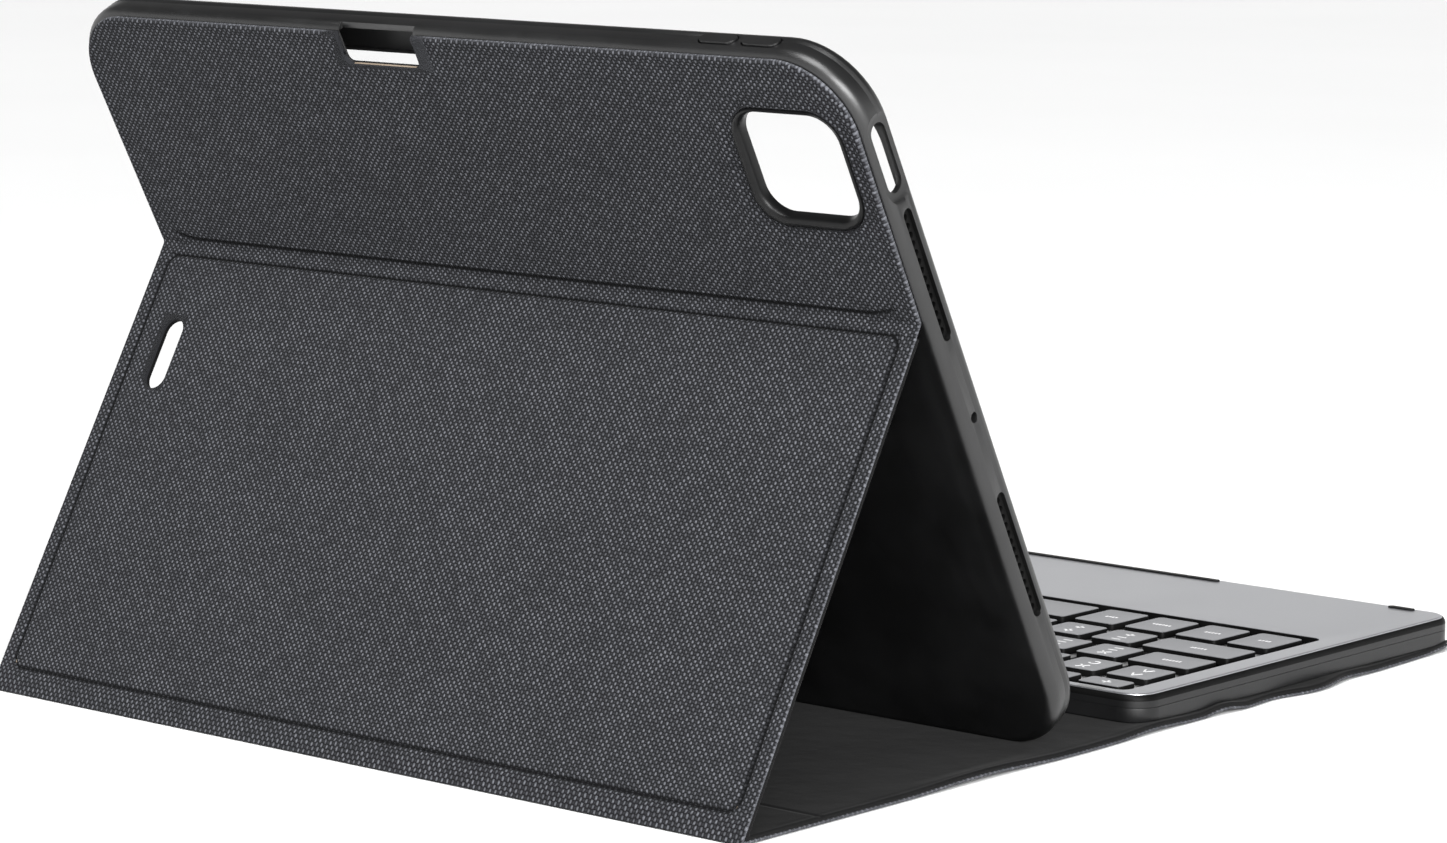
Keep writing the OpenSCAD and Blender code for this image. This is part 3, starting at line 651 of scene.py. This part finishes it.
def build_strut():
    """Rear half of the spine, the rear fold and the flap up to its top groove."""
    groove_z = FLAP_LEN - 2.3
    spine_y = np.linspace(mid_spine, fold[0] - FOLD_REACH, 5)[:-1]
    flap_z = np.concatenate([[FOLD_REACH + 0.4], fine_lines(FOLD_REACH + 0.8, 18, True, False, 2.5),
                             fine_lines(19.5, groove_z, False, True, 3.5)])
    cell = 26
    runs = {}
    for key, level, soft in (("outer", HALF, 0.75), ("cloth_in", CLOTH_IN, 0.25),
                             ("lining_in", -HALF, 1.1)):
        bend = corner_path(fold, REAR, DOWN, level, flap_up, flap_out, level, soft, FOLD_REACH,
                           cell)
        before = np.stack([spine_y, np.full(len(spine_y), fold[1] - level)], -1)
        after = fold + flap_z[:, None] * flap_up + level * flap_out
        runs[key] = np.concatenate([before, bend, after])
    flat = np.concatenate([spine_y - fold[0], np.linspace(-FOLD_REACH, FOLD_REACH, cell), flap_z])
    middle = across_lines([SLOT_X - 7, SLOT_X - 5])
    x = sheet_rows([None] * len(flat), COVER_HALF_W, middle)
    d = edge_distance(x, None, COVER_HALF_W, None)
    on_flap = flat > FOLD_REACH - 1e-6
    z = np.broadcast_to(flat[:, None], x.shape)
    # the groove pressed along the board's edge: a rounded rectangle
    half_w, bottom, top, corner = COVER_HALF_W - 4.4, 5.6, groove_z - 0.1, 3.4
    line = rr_distance(x, z - (bottom + top) / 2, 2 * half_w, top - bottom, corner)
    groove = bump_at(line, 0.0, 0.95) * on_flap[:, None]
    pillow = smoothstep(0.0, 7.0, -line) * on_flap[:, None]
    hem_dip = smoothstep(0.0, 0.6, line) * on_flap[:, None] * 0.16
    normal = over_grid(np.where(on_flap[:, None], flap_out, 0.0), x)
    outer_yz = over_grid(runs["outer"], x) \
        + normal * (0.10 * pillow - 0.55 * groove - hem_dip)[..., None]
    inner_groove = bump_at(line, 0.4, 1.0) * on_flap[:, None]
    lining_yz = over_grid(runs["lining_in"], x) \
        + normal * (0.10 * inner_groove)[..., None]
    # painted shade: the cloth is painted darker along the groove round the board's edge
    cloth = sheet_solid("strut_cover_cloth", "cloth", x, with_x(x, outer_yz),
                        with_x(x, runs["cloth_in"]), d, 0.36, flat + WEAVE_START, (True, True), 1.0,
                        bump_at(line, 0.0, 0.8) * on_flap[:, None])
    lining = sheet_solid("strut_cover_lining", "lining", x, with_x(x, lining_yz),
                         with_x(x, runs["cloth_in"]), d, 0.5, flat + WEAVE_START, (True, True))
    for piece in (cloth, lining):
        cutter = slab("slot_cutter", round_rect(SLOT_X, SLOT_Z, SLOT_W, SLOT_LEN,
                      SLOT_W / 2 - 0.01, 16, 0), -4, 4, flap_point)
        combine(piece, [cutter])
        clean(piece, 50.0)
    bisector = flap_up - REAR
    across = np.array([-bisector[1], bisector[0]])
    across = across / np.linalg.norm(across)
    if across @ flap_up < 0:
        across = -across
    for piece, node in ((cloth, "flap_cloth"), (lining, "flap_lining")):
        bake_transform(piece)
        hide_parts(node, node.replace("flap", "spine"))
    return groove_z


def build_panel(groove_z):
    """From the flap's top groove over the hinge line and up the back of the shell."""
    top_s = SHELL_H - 1.4
    half_w = SHELL_W / 2 - 2.2
    corner = 18.5
    reach = 2.25
    leg = np.array([-(FLAP_LEN - groove_z)])
    up_s = np.concatenate([np.linspace(reach + 0.15, 5.2, 14)[:-1], np.linspace(5.2, 20, 8)[:-1],
                           np.linspace(20, 54, 44)[:-1],
                           fine_lines(54, top_s - HINGE_S, False, True, 1.2)])
    count = 18
    out = -shell_front
    runs = {}
    for key, lo, hi, soft in (("outer", HALF, HINGE_T, 0.9),
                              ("inner", CLOTH_IN, -1.25 + HINGE_T, 0.3)):
        bend = corner_path(hinge, flap_up, flap_out, lo, shell_up, out, hi, soft, reach, count)
        before = hinge + leg[:, None] * flap_up + lo * flap_out
        after = hinge + up_s[:, None] * shell_up + hi * out
        runs[key] = np.concatenate([before, bend, after])
    flat = np.concatenate([leg, np.linspace(-reach, reach, count), up_s])
    end = (top_s - HINGE_S) - flat
    xs = across_lines(list(np.arange(-126 + 12.5, -82, 0.9)))
    # the strip is as wide as the flap at the hinge and as wide as the panel above it
    grow = smoothstep(-1.0, 1.0, flat)
    x = sheet_rows(end, half_w, xs, corner)
    width = COVER_HALF_W + (half_w - COVER_HALF_W) * grow
    x = x * np.where(end > corner, width / half_w, 1.0)[:, None]
    squeezed = x * (half_w / np.where(end > corner, width, half_w))[:, None]
    d = edge_distance(squeezed, end, half_w, corner)
    s = np.broadcast_to((HINGE_S + flat)[:, None], x.shape)
    on_panel = (flat > reach)[:, None]
    cam = rr_distance(x - CAM_X, s - CAM_S, CAM_W + 0.4, CAM_H + 0.4, CAM_R + 0.2)
    notch = box_distance(x, s, NOTCH_X0 - 0.2, NOTCH_X1 + 0.2, NOTCH_S - 0.2, SHELL_H + 20)
    bow = 1.6 * smoothstep(108.0, 120.0, np.abs(x)) ** 2
    groove = bump_at(flat[:, None] - bow, 3.0, 0.95) * (1 - smoothstep(117.0, 120.5, np.abs(x)))
    rim = 0.28 * bump_at(d, 1.3, 1.2) + 0.25 * bump_at(notch, 1.2, 1.3)
    dip = 0.22 * bump_at(cam, 1.8, 1.6) - 0.28 * bump_at(cam, 4.2, 1.8)
    pillow = 0.12 * smoothstep(1.5, 8.0, d)
    turn = np.where(flat > 0, 1.0, 0.0)[:, None]
    normal = np.where(turn[..., None] > 0, out, flap_out)
    seam_groove = bump_at(flat, -2.4, 0.95)[:, None] * (np.abs(x) < 120.8)
    shift = (rim - dip + pillow) * on_panel - 0.45 * groove - 0.45 * seam_groove
    outer_yz = over_grid(runs["outer"], x) + normal * shift[..., None]
    # beyond the flat of the shell's back the panel's underside follows its round edge
    past = np.maximum(0.0, SHELL_EDGE - (d + 2.2))
    sink = SHELL_EDGE - np.sqrt(np.maximum(SHELL_EDGE ** 2 - past ** 2, 0))
    inner_yz = over_grid(runs["inner"], x) \
        - (normal * (sink * on_panel)[..., None])
    # painted shade: the cloth is painted darker along the hinge groove and the seam groove
    panel = sheet_solid("panel_cover_cloth", "cloth", x, with_x(x, outer_yz), with_x(x, inner_yz),
                        d, 0.75, flat + WEAVE_START + FLAP_LEN, (True, True), 0.9,
                        np.maximum(groove, seam_groove * 0.8))
    window = slab("window_cutter", round_rect(CAM_X, CAM_S, CAM_W + 0.3, CAM_H + 0.3,
                  CAM_R + 0.15, 16, 0), -6, 6, shell_point)
    opening = slab("notch_cutter", round_rect(
        (NOTCH_X0 + NOTCH_X1) / 2, NOTCH_S + 14.8, NOTCH_X1 - NOTCH_X0 + 0.4, 30, 2.2, 8, 0),
        -6, 6, shell_point)
    combine(panel, [window, opening])
    clean(panel, 50.0)
    lo, hi = hinge - flap_up * 1.9, hinge + shell_up * 1.9
    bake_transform(panel)
    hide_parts("panel_cloth")


def rr_distance(px, py, w, h, r):
    """Signed distance outside a rounded rectangle that is centred at 0."""
    qx, qy = np.abs(px) - (w / 2 - r), np.abs(py) - (h / 2 - r)
    return np.hypot(np.maximum(qx, 0), np.maximum(qy, 0)) + np.minimum(np.maximum(qx, qy), 0) - r


def box_distance(px, py, x0, x1, y0, y1):
    return rr_distance(px - (x0 + x1) / 2, py - (y0 + y1) / 2, x1 - x0, y1 - y0, 0.01)


build_base()
top_groove = build_strut()
build_panel(top_groove)


# ---- Tablet shell ----

def shell_ring(inset, t, w=SHELL_W, h=SHELL_H, r=SHELL_CORNER, s_mid=SHELL_H / 2):
    points = round_rect(0, s_mid, w - 2 * inset, h - 2 * inset, max(r - inset, 0.5), 14, 4)
    return shell_point(points[:, 0], points[:, 1], np.full(len(points), t))


def in_shell_frame(point):
    """Where a point lies in the shell's own frame, as (s, t)."""
    from_hinge = point[1:] - hinge
    return from_hinge @ shell_up + HINGE_S, from_hinge @ shell_front + HINGE_T


def in_grille(centre, _):
    """Whether a face of the shell lies inside one of its speaker recesses."""
    s, t = in_shell_frame(centre)
    return 0.25 < SHELL_W / 2 - abs(centre[0]) < 4 and abs(t - SIDE_T) < GRILLE_W / 2 + 0.05 \
        and abs(abs(s - SIDE_S) - GRILLE_OFF) < GRILLE_LEN / 2 + 0.1


def in_window_ring(centre, _):
    """Whether a face of the shell belongs to the ring round the camera window."""
    s, t = in_shell_frame(centre)
    return t < 1.6 and rr_distance(centre[0] - CAM_X, s - CAM_S, CAM_W, CAM_H, CAM_R) < 0.05


def build_shell():
    back, front = SHELL_BACK, SHELL_BACK + SHELL_T
    turns = [math.radians(10.0 * k) for k in range(10)]
    whole = [(SHELL_EDGE * (1 - math.sin(a)), back + SHELL_EDGE * (1 - math.cos(a)))
             for a in turns]
    whole += [(SHELL_EDGE * (1 - math.cos(a)), front - SHELL_EDGE * (1 - math.sin(a)))
              for a in turns]
    # a shallow parting line runs round the outside of the moulding
    seam = back + 0.58 * SHELL_T

    def inset_at(t):
        ts = [p[1] for p in whole]
        return float(np.interp(t, ts, [p[0] for p in whole]))

    whole = [p for p in whole if abs(p[1] - seam) > 0.28]
    for dt, deep in ((-0.22, 0.0), (-0.07, 0.16), (0.07, 0.16), (0.22, 0.0)):
        whole.append((inset_at(seam + dt) + deep, seam + dt))
    whole.sort(key=lambda p: p[1])
    rings = [shell_ring(inset, t) for inset, t in whole]
    pocket_s = POCKET_S0 + POCKET_H / 2
    for t, lip, corner in ((front, LIP, 15.2), (back + BACK_WALL + POCKET_T, LIP, 15.2),
                           (back + BACK_WALL + POCKET_T, 0.0, 17), (back + BACK_WALL, 0.0, 17)):
        rings.append(shell_ring(0, t, POCKET_W - 2 * lip, POCKET_H - 2 * lip, corner, pocket_s))
    shell = make_object("tablet_shell_moulding", *loft(rings), "rubber")

    def rim_outline(inset):
        return round_rect(CAM_X, CAM_S, CAM_W - 2 * inset, CAM_H - 2 * inset, CAM_R - inset, 12, 0)

    levels = [(0.75, -CAM_PROUD), (0.3, -CAM_PROUD + 0.14), (0.08, -CAM_PROUD + 0.42),
              (0.0, -CAM_PROUD + 0.8), (0.0, back + 0.4)]
    rim = make_object("rim", *loft([[shell_point(a, b, t) for a, b in rim_outline(i)]
                                    for i, t in levels]), "rubber")
    combine(shell, [rim], "UNION")

    off = (CAM_RIM_WIDE - CAM_RIM_NARROW) / 2
    hole_w = CAM_W - CAM_RIM_WIDE - CAM_RIM_NARROW
    hole_h = CAM_H - CAM_RIM_WIDE - CAM_RIM_NARROW
    hole_levels = [(-1.2, -CAM_PROUD - 0.6), (-1.2, -CAM_PROUD + 0.02), (-0.75, -CAM_PROUD + 0.12),
                   (-0.35, -CAM_PROUD + 0.42), (-0.1, -CAM_PROUD + 0.9), (0.0, -CAM_PROUD + 1.6),
                   (0.0, back + 2.2)]
    hole_rings = [[shell_point(a, b, t) for a, b in round_rect(
        CAM_X - off, CAM_S + off, hole_w - 2 * i, hole_h - 2 * i, CAM_R - 1.8 - i, 12, 0)]
        for i, t in hole_levels]
    cutters = [make_object("hole", *loft(hole_rings), "rubber")]

    def box(name, x0, x1, s0, s1, t0, t1, r=0.6):
        return slab(name, round_rect((x0 + x1) / 2, (s0 + s1) / 2, x1 - x0, s1 - s0, r, 5, 0),
                    t0, t1, shell_point)

    def side_stadium(side, s_mid, length, width, depth=12.0):
        points = round_rect(SIDE_T, s_mid, width, length, width / 2 - 0.01, 10, 0)
        rings = [[shell_point(side * (SHELL_W / 2 + o), b, a) for a, b in points]
                 for o in (-depth, 3)]
        return make_object("side_cutter", *loft(rings), "rubber")

    cutters.append(box("pen_channel", -78, 90, 181.9, SHELL_H - 1.8, back + 0.5, front - 0.7, 1.2))
    cutters.append(box("pen_notch", NOTCH_X0, NOTCH_X1, NOTCH_S, SHELL_H + 8, -4, 3.0, 1.6))
    recesses, holes = [], []
    for side in (-1, 1):
        for way in (-1, 1):
            mid = SIDE_S + way * GRILLE_OFF
            recesses.append(side_stadium(side, mid, GRILLE_LEN, GRILLE_W, GRILLE_DEEP))
            holes += [side_stadium(side, mid + (i - (HOLE_COUNT - 1) / 2) * HOLE_PITCH, HOLE_D,
                                   HOLE_D) for i in range(HOLE_COUNT)]
    cutters += [join_all(recesses), join_all(holes)]
    # charging opening, power button opening and microphone hole
    cutters += [side_stadium(1, SIDE_S, 14, 6), side_stadium(-1, POWER_S, 17.6, 5.2),
                side_stadium(-1, SIDE_S, 2.6, 2.6)]
    # the scoop round the power button's opening
    scoop_points = []
    for depth, length, width in ((3.0, 24.0, 12.6), (0.0, 23.0, 11.6), (-0.45, 21.6, 10.2),
                                 (-0.9, 19.4, 7.6)):
        points = round_rect(SIDE_T, POWER_S, width, length, width / 2 - 0.01, 10, 0)
        scoop_points.append([shell_point(-(SHELL_W / 2 + depth), b, a) for a, b in points])
    cutters.append(make_object("scoop", *loft(scoop_points), "rubber"))
    for name in ("volume_up_button", "volume_down_button"):
        low, high = node_box(name)
        x_mid = (low[0] + high[0]) / 2
        points = round_rect(x_mid, SIDE_T, 11.2, 4.2, 2.09, 8, 0)
        rings = [[shell_point(a, SHELL_H - o, b) for a, b in points] for o in (1.2, -4)]
        cutters.append(make_object("volume_cutter", *loft(rings), "rubber"))
        cutters.append(slab("stem_cutter", round_rect(x_mid, SIDE_T, 8, 2, 0.3, 3, 0),
                            181, SHELL_H - 0.6, lambda a, b, o: shell_point(a, o, b)))
    combine(shell, cutters)
    clean(shell, 35.0)
    bevel(shell, 0.22, 2, 42.0)
    clean(shell, 40.0)
    second_look(shell, "bumper", in_grille)
    second_look(shell, "ring", in_window_ring)
    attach(shell, "tablet_holder")
    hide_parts("tablet_shell")


build_shell()

# ---- CAD nodes that stay, each with its look ----

KEPT = {
    "base_board": "board", "spine_board": "board", "flap_board": "board", "panel_board": "board",
    "base_magnets": "steel", "keyboard_magnets": "steel", "key_plate": "steel",
    "charge_port": "steel", "case_screws": "steel",
    "volume_up_button": "rubber", "volume_down_button": "rubber",
    "keyboard_bottom_case": "side",
    "key_membrane": "membrane", "circuit_board": "board_green", "battery_cells": "foil",
    "power_switch_body": "black", "power_switch_knob": "key", "status_window": "window",
    "keyboard_feet": "bumper", "deck_bumpers": "bumper",
}
ROWS = ("number_row", "tab_row", "caps_row", "shift_row", "space_row")
for row in ROWS:
    KEPT[f"{row}_domes"] = "dome"
    KEPT[f"{row}_scissors"] = "scissor"
SOFT_EDGES = {
    "volume_up_button": 0.3, "volume_down_button": 0.3, "keyboard_bottom_case": 0.3,
    "power_switch_knob": 0.15,
    "deck_bumpers": 0.12, "keyboard_feet": 0.12,
}


def dress_cad_nodes():
    for name, look in KEPT.items():
        node = frame["nodes"][name]
        paint(node, look)
        if name in SOFT_EDGES:
            weld = node.modifiers.new("weld", "WELD")
            weld.merge_threshold = 1e-6
            bevel(node, SOFT_EDGES[name], 3, 40.0, apply=False)


dress_cad_nodes()


# ---- Keyboard housing ----

WELL_W, WELL_D0, WELL_D1, WELL_R = 230.4, 3.9, 92.3, 3.0
KB_CORNER = 7.5
DECK_GAP = 0.05                  # round the pieces that are let into the deck
BLACK_BAND = 1.95                # the case is black this far below the deck's face


def wrapped(rings):
    """A solid whose rings close on themselves, such as a frame round an opening."""
    points, faces = loft(rings, close=False)
    count, last = len(rings[0]), (len(rings) - 1) * len(rings[0])
    faces += [(last + i, last + (i + 1) % count, (i + 1) % count, i) for i in range(count)]
    return points, faces


def build_housing():
    low, high = node_box("keyboard_upper_case")
    deck_low, deck_high = node_box("keyboard_deck")
    cx, cy, w, h = footprint(low, high)
    rear = high[1]
    well_y = rear - (WELL_D0 + WELL_D1) / 2
    deck_inset = (w - (deck_high[0] - deck_low[0])) / 2
    top, split, under = deck_high[2], low[2], deck_low[2]

    def outline(inset, z):
        return at_height(
            round_rect(cx, cy, w - 2 * inset, h - 2 * inset, KB_CORNER - inset, 12, 3), z)

    def well(grow, z):
        return at_height(round_rect(0, well_y, WELL_W + 2 * grow, WELL_D1 - WELL_D0 + 2 * grow,
                                    WELL_R + grow, 12, 3), z)

    edge = deck_inset - 0.06
    case = make_object("upper_case_moulding", *wrapped([
        outline(0.12, split), outline(0.0, split + 0.12), outline(0.0, top - 1.75),
        outline(0.05, top - 1.35), outline(0.22, top - 0.9), outline(0.5, top - 0.5),
        outline(edge - 0.12, top - 0.26), outline(edge, top - 0.3), outline(edge + 0.05, under),
        well(0.0, under), well(0.0, under - 0.8), outline(1.8, under - 0.8), outline(1.8, split)]),
        "side", None, 30.0)
    second_look(case, "black", lambda c, n: c[2] > top - BLACK_BAND)
    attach(case, "keyboard")
    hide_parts("keyboard_upper_case")
    deck = make_object("deck_plate", *wrapped([
        outline(edge + 0.08, under), outline(edge + 0.08, top - 0.22),
        outline(edge + 0.16, top - 0.06), outline(edge + 0.3, top), outline(edge + 1.2, top),
        well(0.5, top), well(0.12, top - 0.01), well(0.02, top - 0.12), well(0.0, under)]),
        "deck", None, 30.0)
    cutters = []
    for name in ("deck_bumpers", "status_window"):
        for lo, hi in islands(name):
            mx, my, dx, dy = footprint(lo, hi)
            cutters.append(slab("deck_cutter", round_rect(
                mx, my, dx + 2 * DECK_GAP, dy + 2 * DECK_GAP, dy / 2, 8, 0), under - 1, top + 1,
                lambda a, b, t: (a, b, t)))
    combine(deck, [join_all(cutters)])
    clean(deck, 30.0)

    def in_well(centre, normal):
        """Whether a face of the deck is a wall of the key well."""
        return abs(normal[2]) < 0.5 and abs(centre[0]) < WELL_W / 2 + 0.3 \
            and abs(centre[1] - well_y) < (WELL_D1 - WELL_D0) / 2 + 0.3

    second_look(deck, "black", in_well)
    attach(deck, "keyboard")
    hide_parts("keyboard_deck")


# ---- Keys ----

def islands(name):
    """Box of every separate solid in a CAD node, as (low, high), sorted from left to right."""
    bm = bmesh.new()
    bm.from_mesh(frame["nodes"][name].data)
    bmesh.ops.remove_doubles(bm, verts=bm.verts, dist=1e-6)
    seen, boxes = set(), []
    for start in bm.verts:
        if start in seen:
            continue
        group, stack = [], [start]
        seen.add(start)
        while stack:
            v = stack.pop()
            group.append(v.co[:])
            for edge in v.link_edges:
                w = edge.other_vert(v)
                if w not in seen:
                    seen.add(w)
                    stack.append(w)
        co = np.array(group) / MM
        boxes.append((co.min(0), co.max(0)))
    bm.free()
    return sorted(boxes, key=lambda b: (round(b[0][0], 1), b[0][1]))


KEY_WALL, KEY_ROOF, KEY_TRAVEL, PRESS_GAP = 0.8, 0.85, 1.2, 0.03
FULL_KEY = 9.0                   # keys less deep than this are the low ones of the top row
WIDE_KEY, SPACE_BAR = 16.0, 40.0
MARK_HALF, MARK_SHIFT, STROKE_W, STROKE_H = 1.35, 2.6, 0.52, 0.05


def keycap_rings(low, high):
    """A low hollow key with a small fillet, a bright chamfer and a slightly dished top."""
    cx, cy, w, h = footprint(low, high)
    top = high[2]
    dish = 0.10 if h > FULL_KEY else 0.05
    levels = [(KEY_WALL, top - KEY_ROOF), (KEY_WALL, low[2]),
              (0.0, low[2]), (0.0, top - 0.2), (0.04, top - 0.1), (0.12, top - 0.03),
              (0.24, top), (0.7, top - 0.01), (1.6, top - dish * 0.55), (2.8, top - dish)]
    rings = []
    for inset, z in levels:
        inset = min(inset, h / 2 - 0.4)
        corner = max(1.3 - inset * 0.45, 0.35)
        rings.append(at_height(round_rect(cx, cy, w - 2 * inset, h - 2 * inset, corner, 5, 1), z))
    return rings


def stroke(points, z):
    """A flat printed stroke through points, as a thin closed strip."""
    points = np.array(points, float)
    step = np.gradient(points, axis=0)
    side = np.column_stack([-step[:, 1], step[:, 0]])
    side = side / np.maximum(np.linalg.norm(side, axis=1), 1e-9)[:, None] * STROKE_W / 2
    left, right = points + side, points - side
    rings = []
    for a, b in zip(left, right):
        rings.append([(*a, z), (*b, z), (*b, z + STROKE_H), (*a, z + STROKE_H)])
    return loft(rings)


def mark_strokes(rng, cx, cy, kind):
    """Generic printed marks: short bars, crosses and arcs that belong to no real lettering."""
    if kind == "word":
        count = rng.randint(4, 6)
        first = cx - 0.5 * (count - 1)
        return [[(first + k, cy - 0.55), (first + k, cy + 0.35 + 0.3 * rng.random())]
                for k in range(count)]
    left, right, low, high = cx - MARK_HALF, cx + MARK_HALF, cy - MARK_HALF, cy + MARK_HALF
    shapes = [
        [[(left, low), (right, high)], [(left, high), (right, low)]],
        [[(cx + MARK_HALF * math.cos(a), cy + MARK_HALF * math.sin(a))
          for a in np.linspace(0.4, 5.2, 12)]],
        [[(left, cy), (right, cy)], [(cx, low), (cx, high)]],
        [[(left, low), (cx, high)], [(cx, high), (right, low)]],
        [[(left, high), (right, high)], [(left, low), (right, low)]],
    ]
    return shapes[rng.randrange(len(shapes))]


def gather(points, faces, solid):
    """Adds a lofted solid to the points and faces of a larger mesh."""
    faces += [tuple(i + len(points) for i in face) for face in solid[1]]
    points += solid[0].tolist()


def build_keys():
    rng = random.Random(7)
    for row in ROWS:
        node = f"{row}_keys"
        points, faces, mark_points, mark_faces = [], [], [], []
        for low, high in islands(node):
            gather(points, faces, loft(keycap_rings(low, high)))
            cx, cy, w, h = footprint(low, high)
            if w > SPACE_BAR:
                continue
            wide = w > WIDE_KEY or row == "space_row"
            strokes = mark_strokes(rng, cx, cy + (0.0 if wide or h < FULL_KEY else MARK_SHIFT),
                                   "word" if wide else "sign")
            if not wide and h > FULL_KEY:
                strokes += mark_strokes(rng, cx, cy - MARK_SHIFT, "sign")
            for line in strokes:
                depth = 0.09 if h > FULL_KEY else 0.05
                gather(mark_points, mark_faces, stroke(line, high[2] - depth))
        caps = make_object(f"{row}_keycaps", points, faces, "key", None, 38.0, 1e-3)
        top = node_box(node)[1][2]
        second_look(caps, "black", lambda c, n: c[2] < top - 0.12)
        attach(caps, row)
        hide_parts(node)
        marks = make_object(f"{row}_marks", mark_points, mark_faces, "mark", None, 30.0, 1e-3)
        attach(marks, row)


def soften_springs():
    """Gives the rubber domes and scissor frames of every row a mesh of their own."""
    for row in ROWS:
        for part in ("domes", "scissors"):
            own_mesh(frame["nodes"][f"{row}_{part}"])


build_housing()
build_keys()
soften_springs()


# ---- Floor, light and camera ----

def add_light(kind, name, position, target, **settings):
    data = bpy.data.lights.new(name, kind)
    for key, value in settings.items():
        setattr(data, key, value)
    light = bpy.data.objects.new(name, data)
    bpy.context.scene.collection.objects.link(light)
    light.location = position
    light.rotation_mode = "QUATERNION"
    light.rotation_quaternion = (Vector(target) - Vector(position)).to_track_quat("-Z", "Y")


def build_stage():
    floor_paint = Paint("studio_floor")
    haze = floor_paint.noise(3.0, 2.0, 0.5)
    floor_paint.set(Base_Color=floor_paint.mix(haze, grey(0.86), grey(0.90)), Roughness=0.9)
    mesh = bpy.data.meshes.new("studio_floor")
    mesh.from_pydata([(-6, -6, -0.0002), (6, -6, -0.0002), (6, 6, -0.0002), (-6, 6, -0.0002)], [],
                     [(0, 1, 2, 3)])
    floor = bpy.data.objects.new("studio_floor", mesh)
    bpy.context.scene.collection.objects.link(floor)
    mesh.materials.append(floor_paint.material)
    world = bpy.data.worlds.new("studio")
    bpy.context.scene.world = world
    world.use_nodes = True
    tree = world.node_tree
    direction = tree.nodes.new("ShaderNodeTexCoord")
    parts = tree.nodes.new("ShaderNodeSeparateXYZ")
    fall = tree.nodes.new("ShaderNodeMapRange")
    fall.interpolation_type = "SMOOTHSTEP"
    for i, value in enumerate((0.22, 0.45, 1.0, 0.12)):
        fall.inputs[i + 1].default_value = value
    tree.links.new(direction.outputs["Generated"], parts.inputs[0])
    tree.links.new(parts.outputs["Z"], fall.inputs[0])
    tree.links.new(fall.outputs[0], tree.nodes["Background"].inputs[0])
    add_light("SUN", "key", (-0.5, 1.7, 2.6), (0, 0, 0), energy=3.1, angle=0.7)
    add_light("AREA", "side_softbox", (-1.6, 1.15, 0.78), (-0.1, 0.02, 0.12), shape="RECTANGLE",
              size=1.3, size_y=0.95, energy=60)
    bpy.context.scene.view_settings.view_transform = "Standard"


IMAGE_W, IMAGE_H = 1447, 843


def build_camera():
    position = np.array([-0.75853, 0.89579, 0.23981])
    target = np.array([-0.06094, 0.07616, 0.07709])
    roll = math.radians(0.4)
    focal_px = 4584.5
    centre_px = (737.64, 431.79)
    forward = (target - position) / np.linalg.norm(target - position)
    right = np.cross(forward, [0, 0, 1])
    right = right / np.linalg.norm(right)
    up = np.cross(right, forward)
    axis_x = math.cos(roll) * right + math.sin(roll) * up
    axis_y = -math.sin(roll) * right + math.cos(roll) * up
    data = bpy.data.cameras.new("photo_camera")
    data.sensor_fit = "HORIZONTAL"
    data.sensor_width = 36.0
    data.lens = focal_px / IMAGE_W * data.sensor_width
    data.shift_x = (IMAGE_W / 2 - centre_px[0]) / IMAGE_W
    data.shift_y = (centre_px[1] - IMAGE_H / 2) / IMAGE_W
    data.clip_start, data.clip_end = 0.02, 50
    camera = bpy.data.objects.new("photo_camera", data)
    bpy.context.scene.collection.objects.link(camera)
    matrix = Matrix.Identity(4)
    for i, column in enumerate((axis_x, axis_y, -forward, position)):
        for k in range(3):
            matrix[k][i] = float(column[k])
    camera.matrix_world = matrix
    bpy.context.scene.camera = camera


build_stage()
build_camera()

bpy.context.view_layer.update()
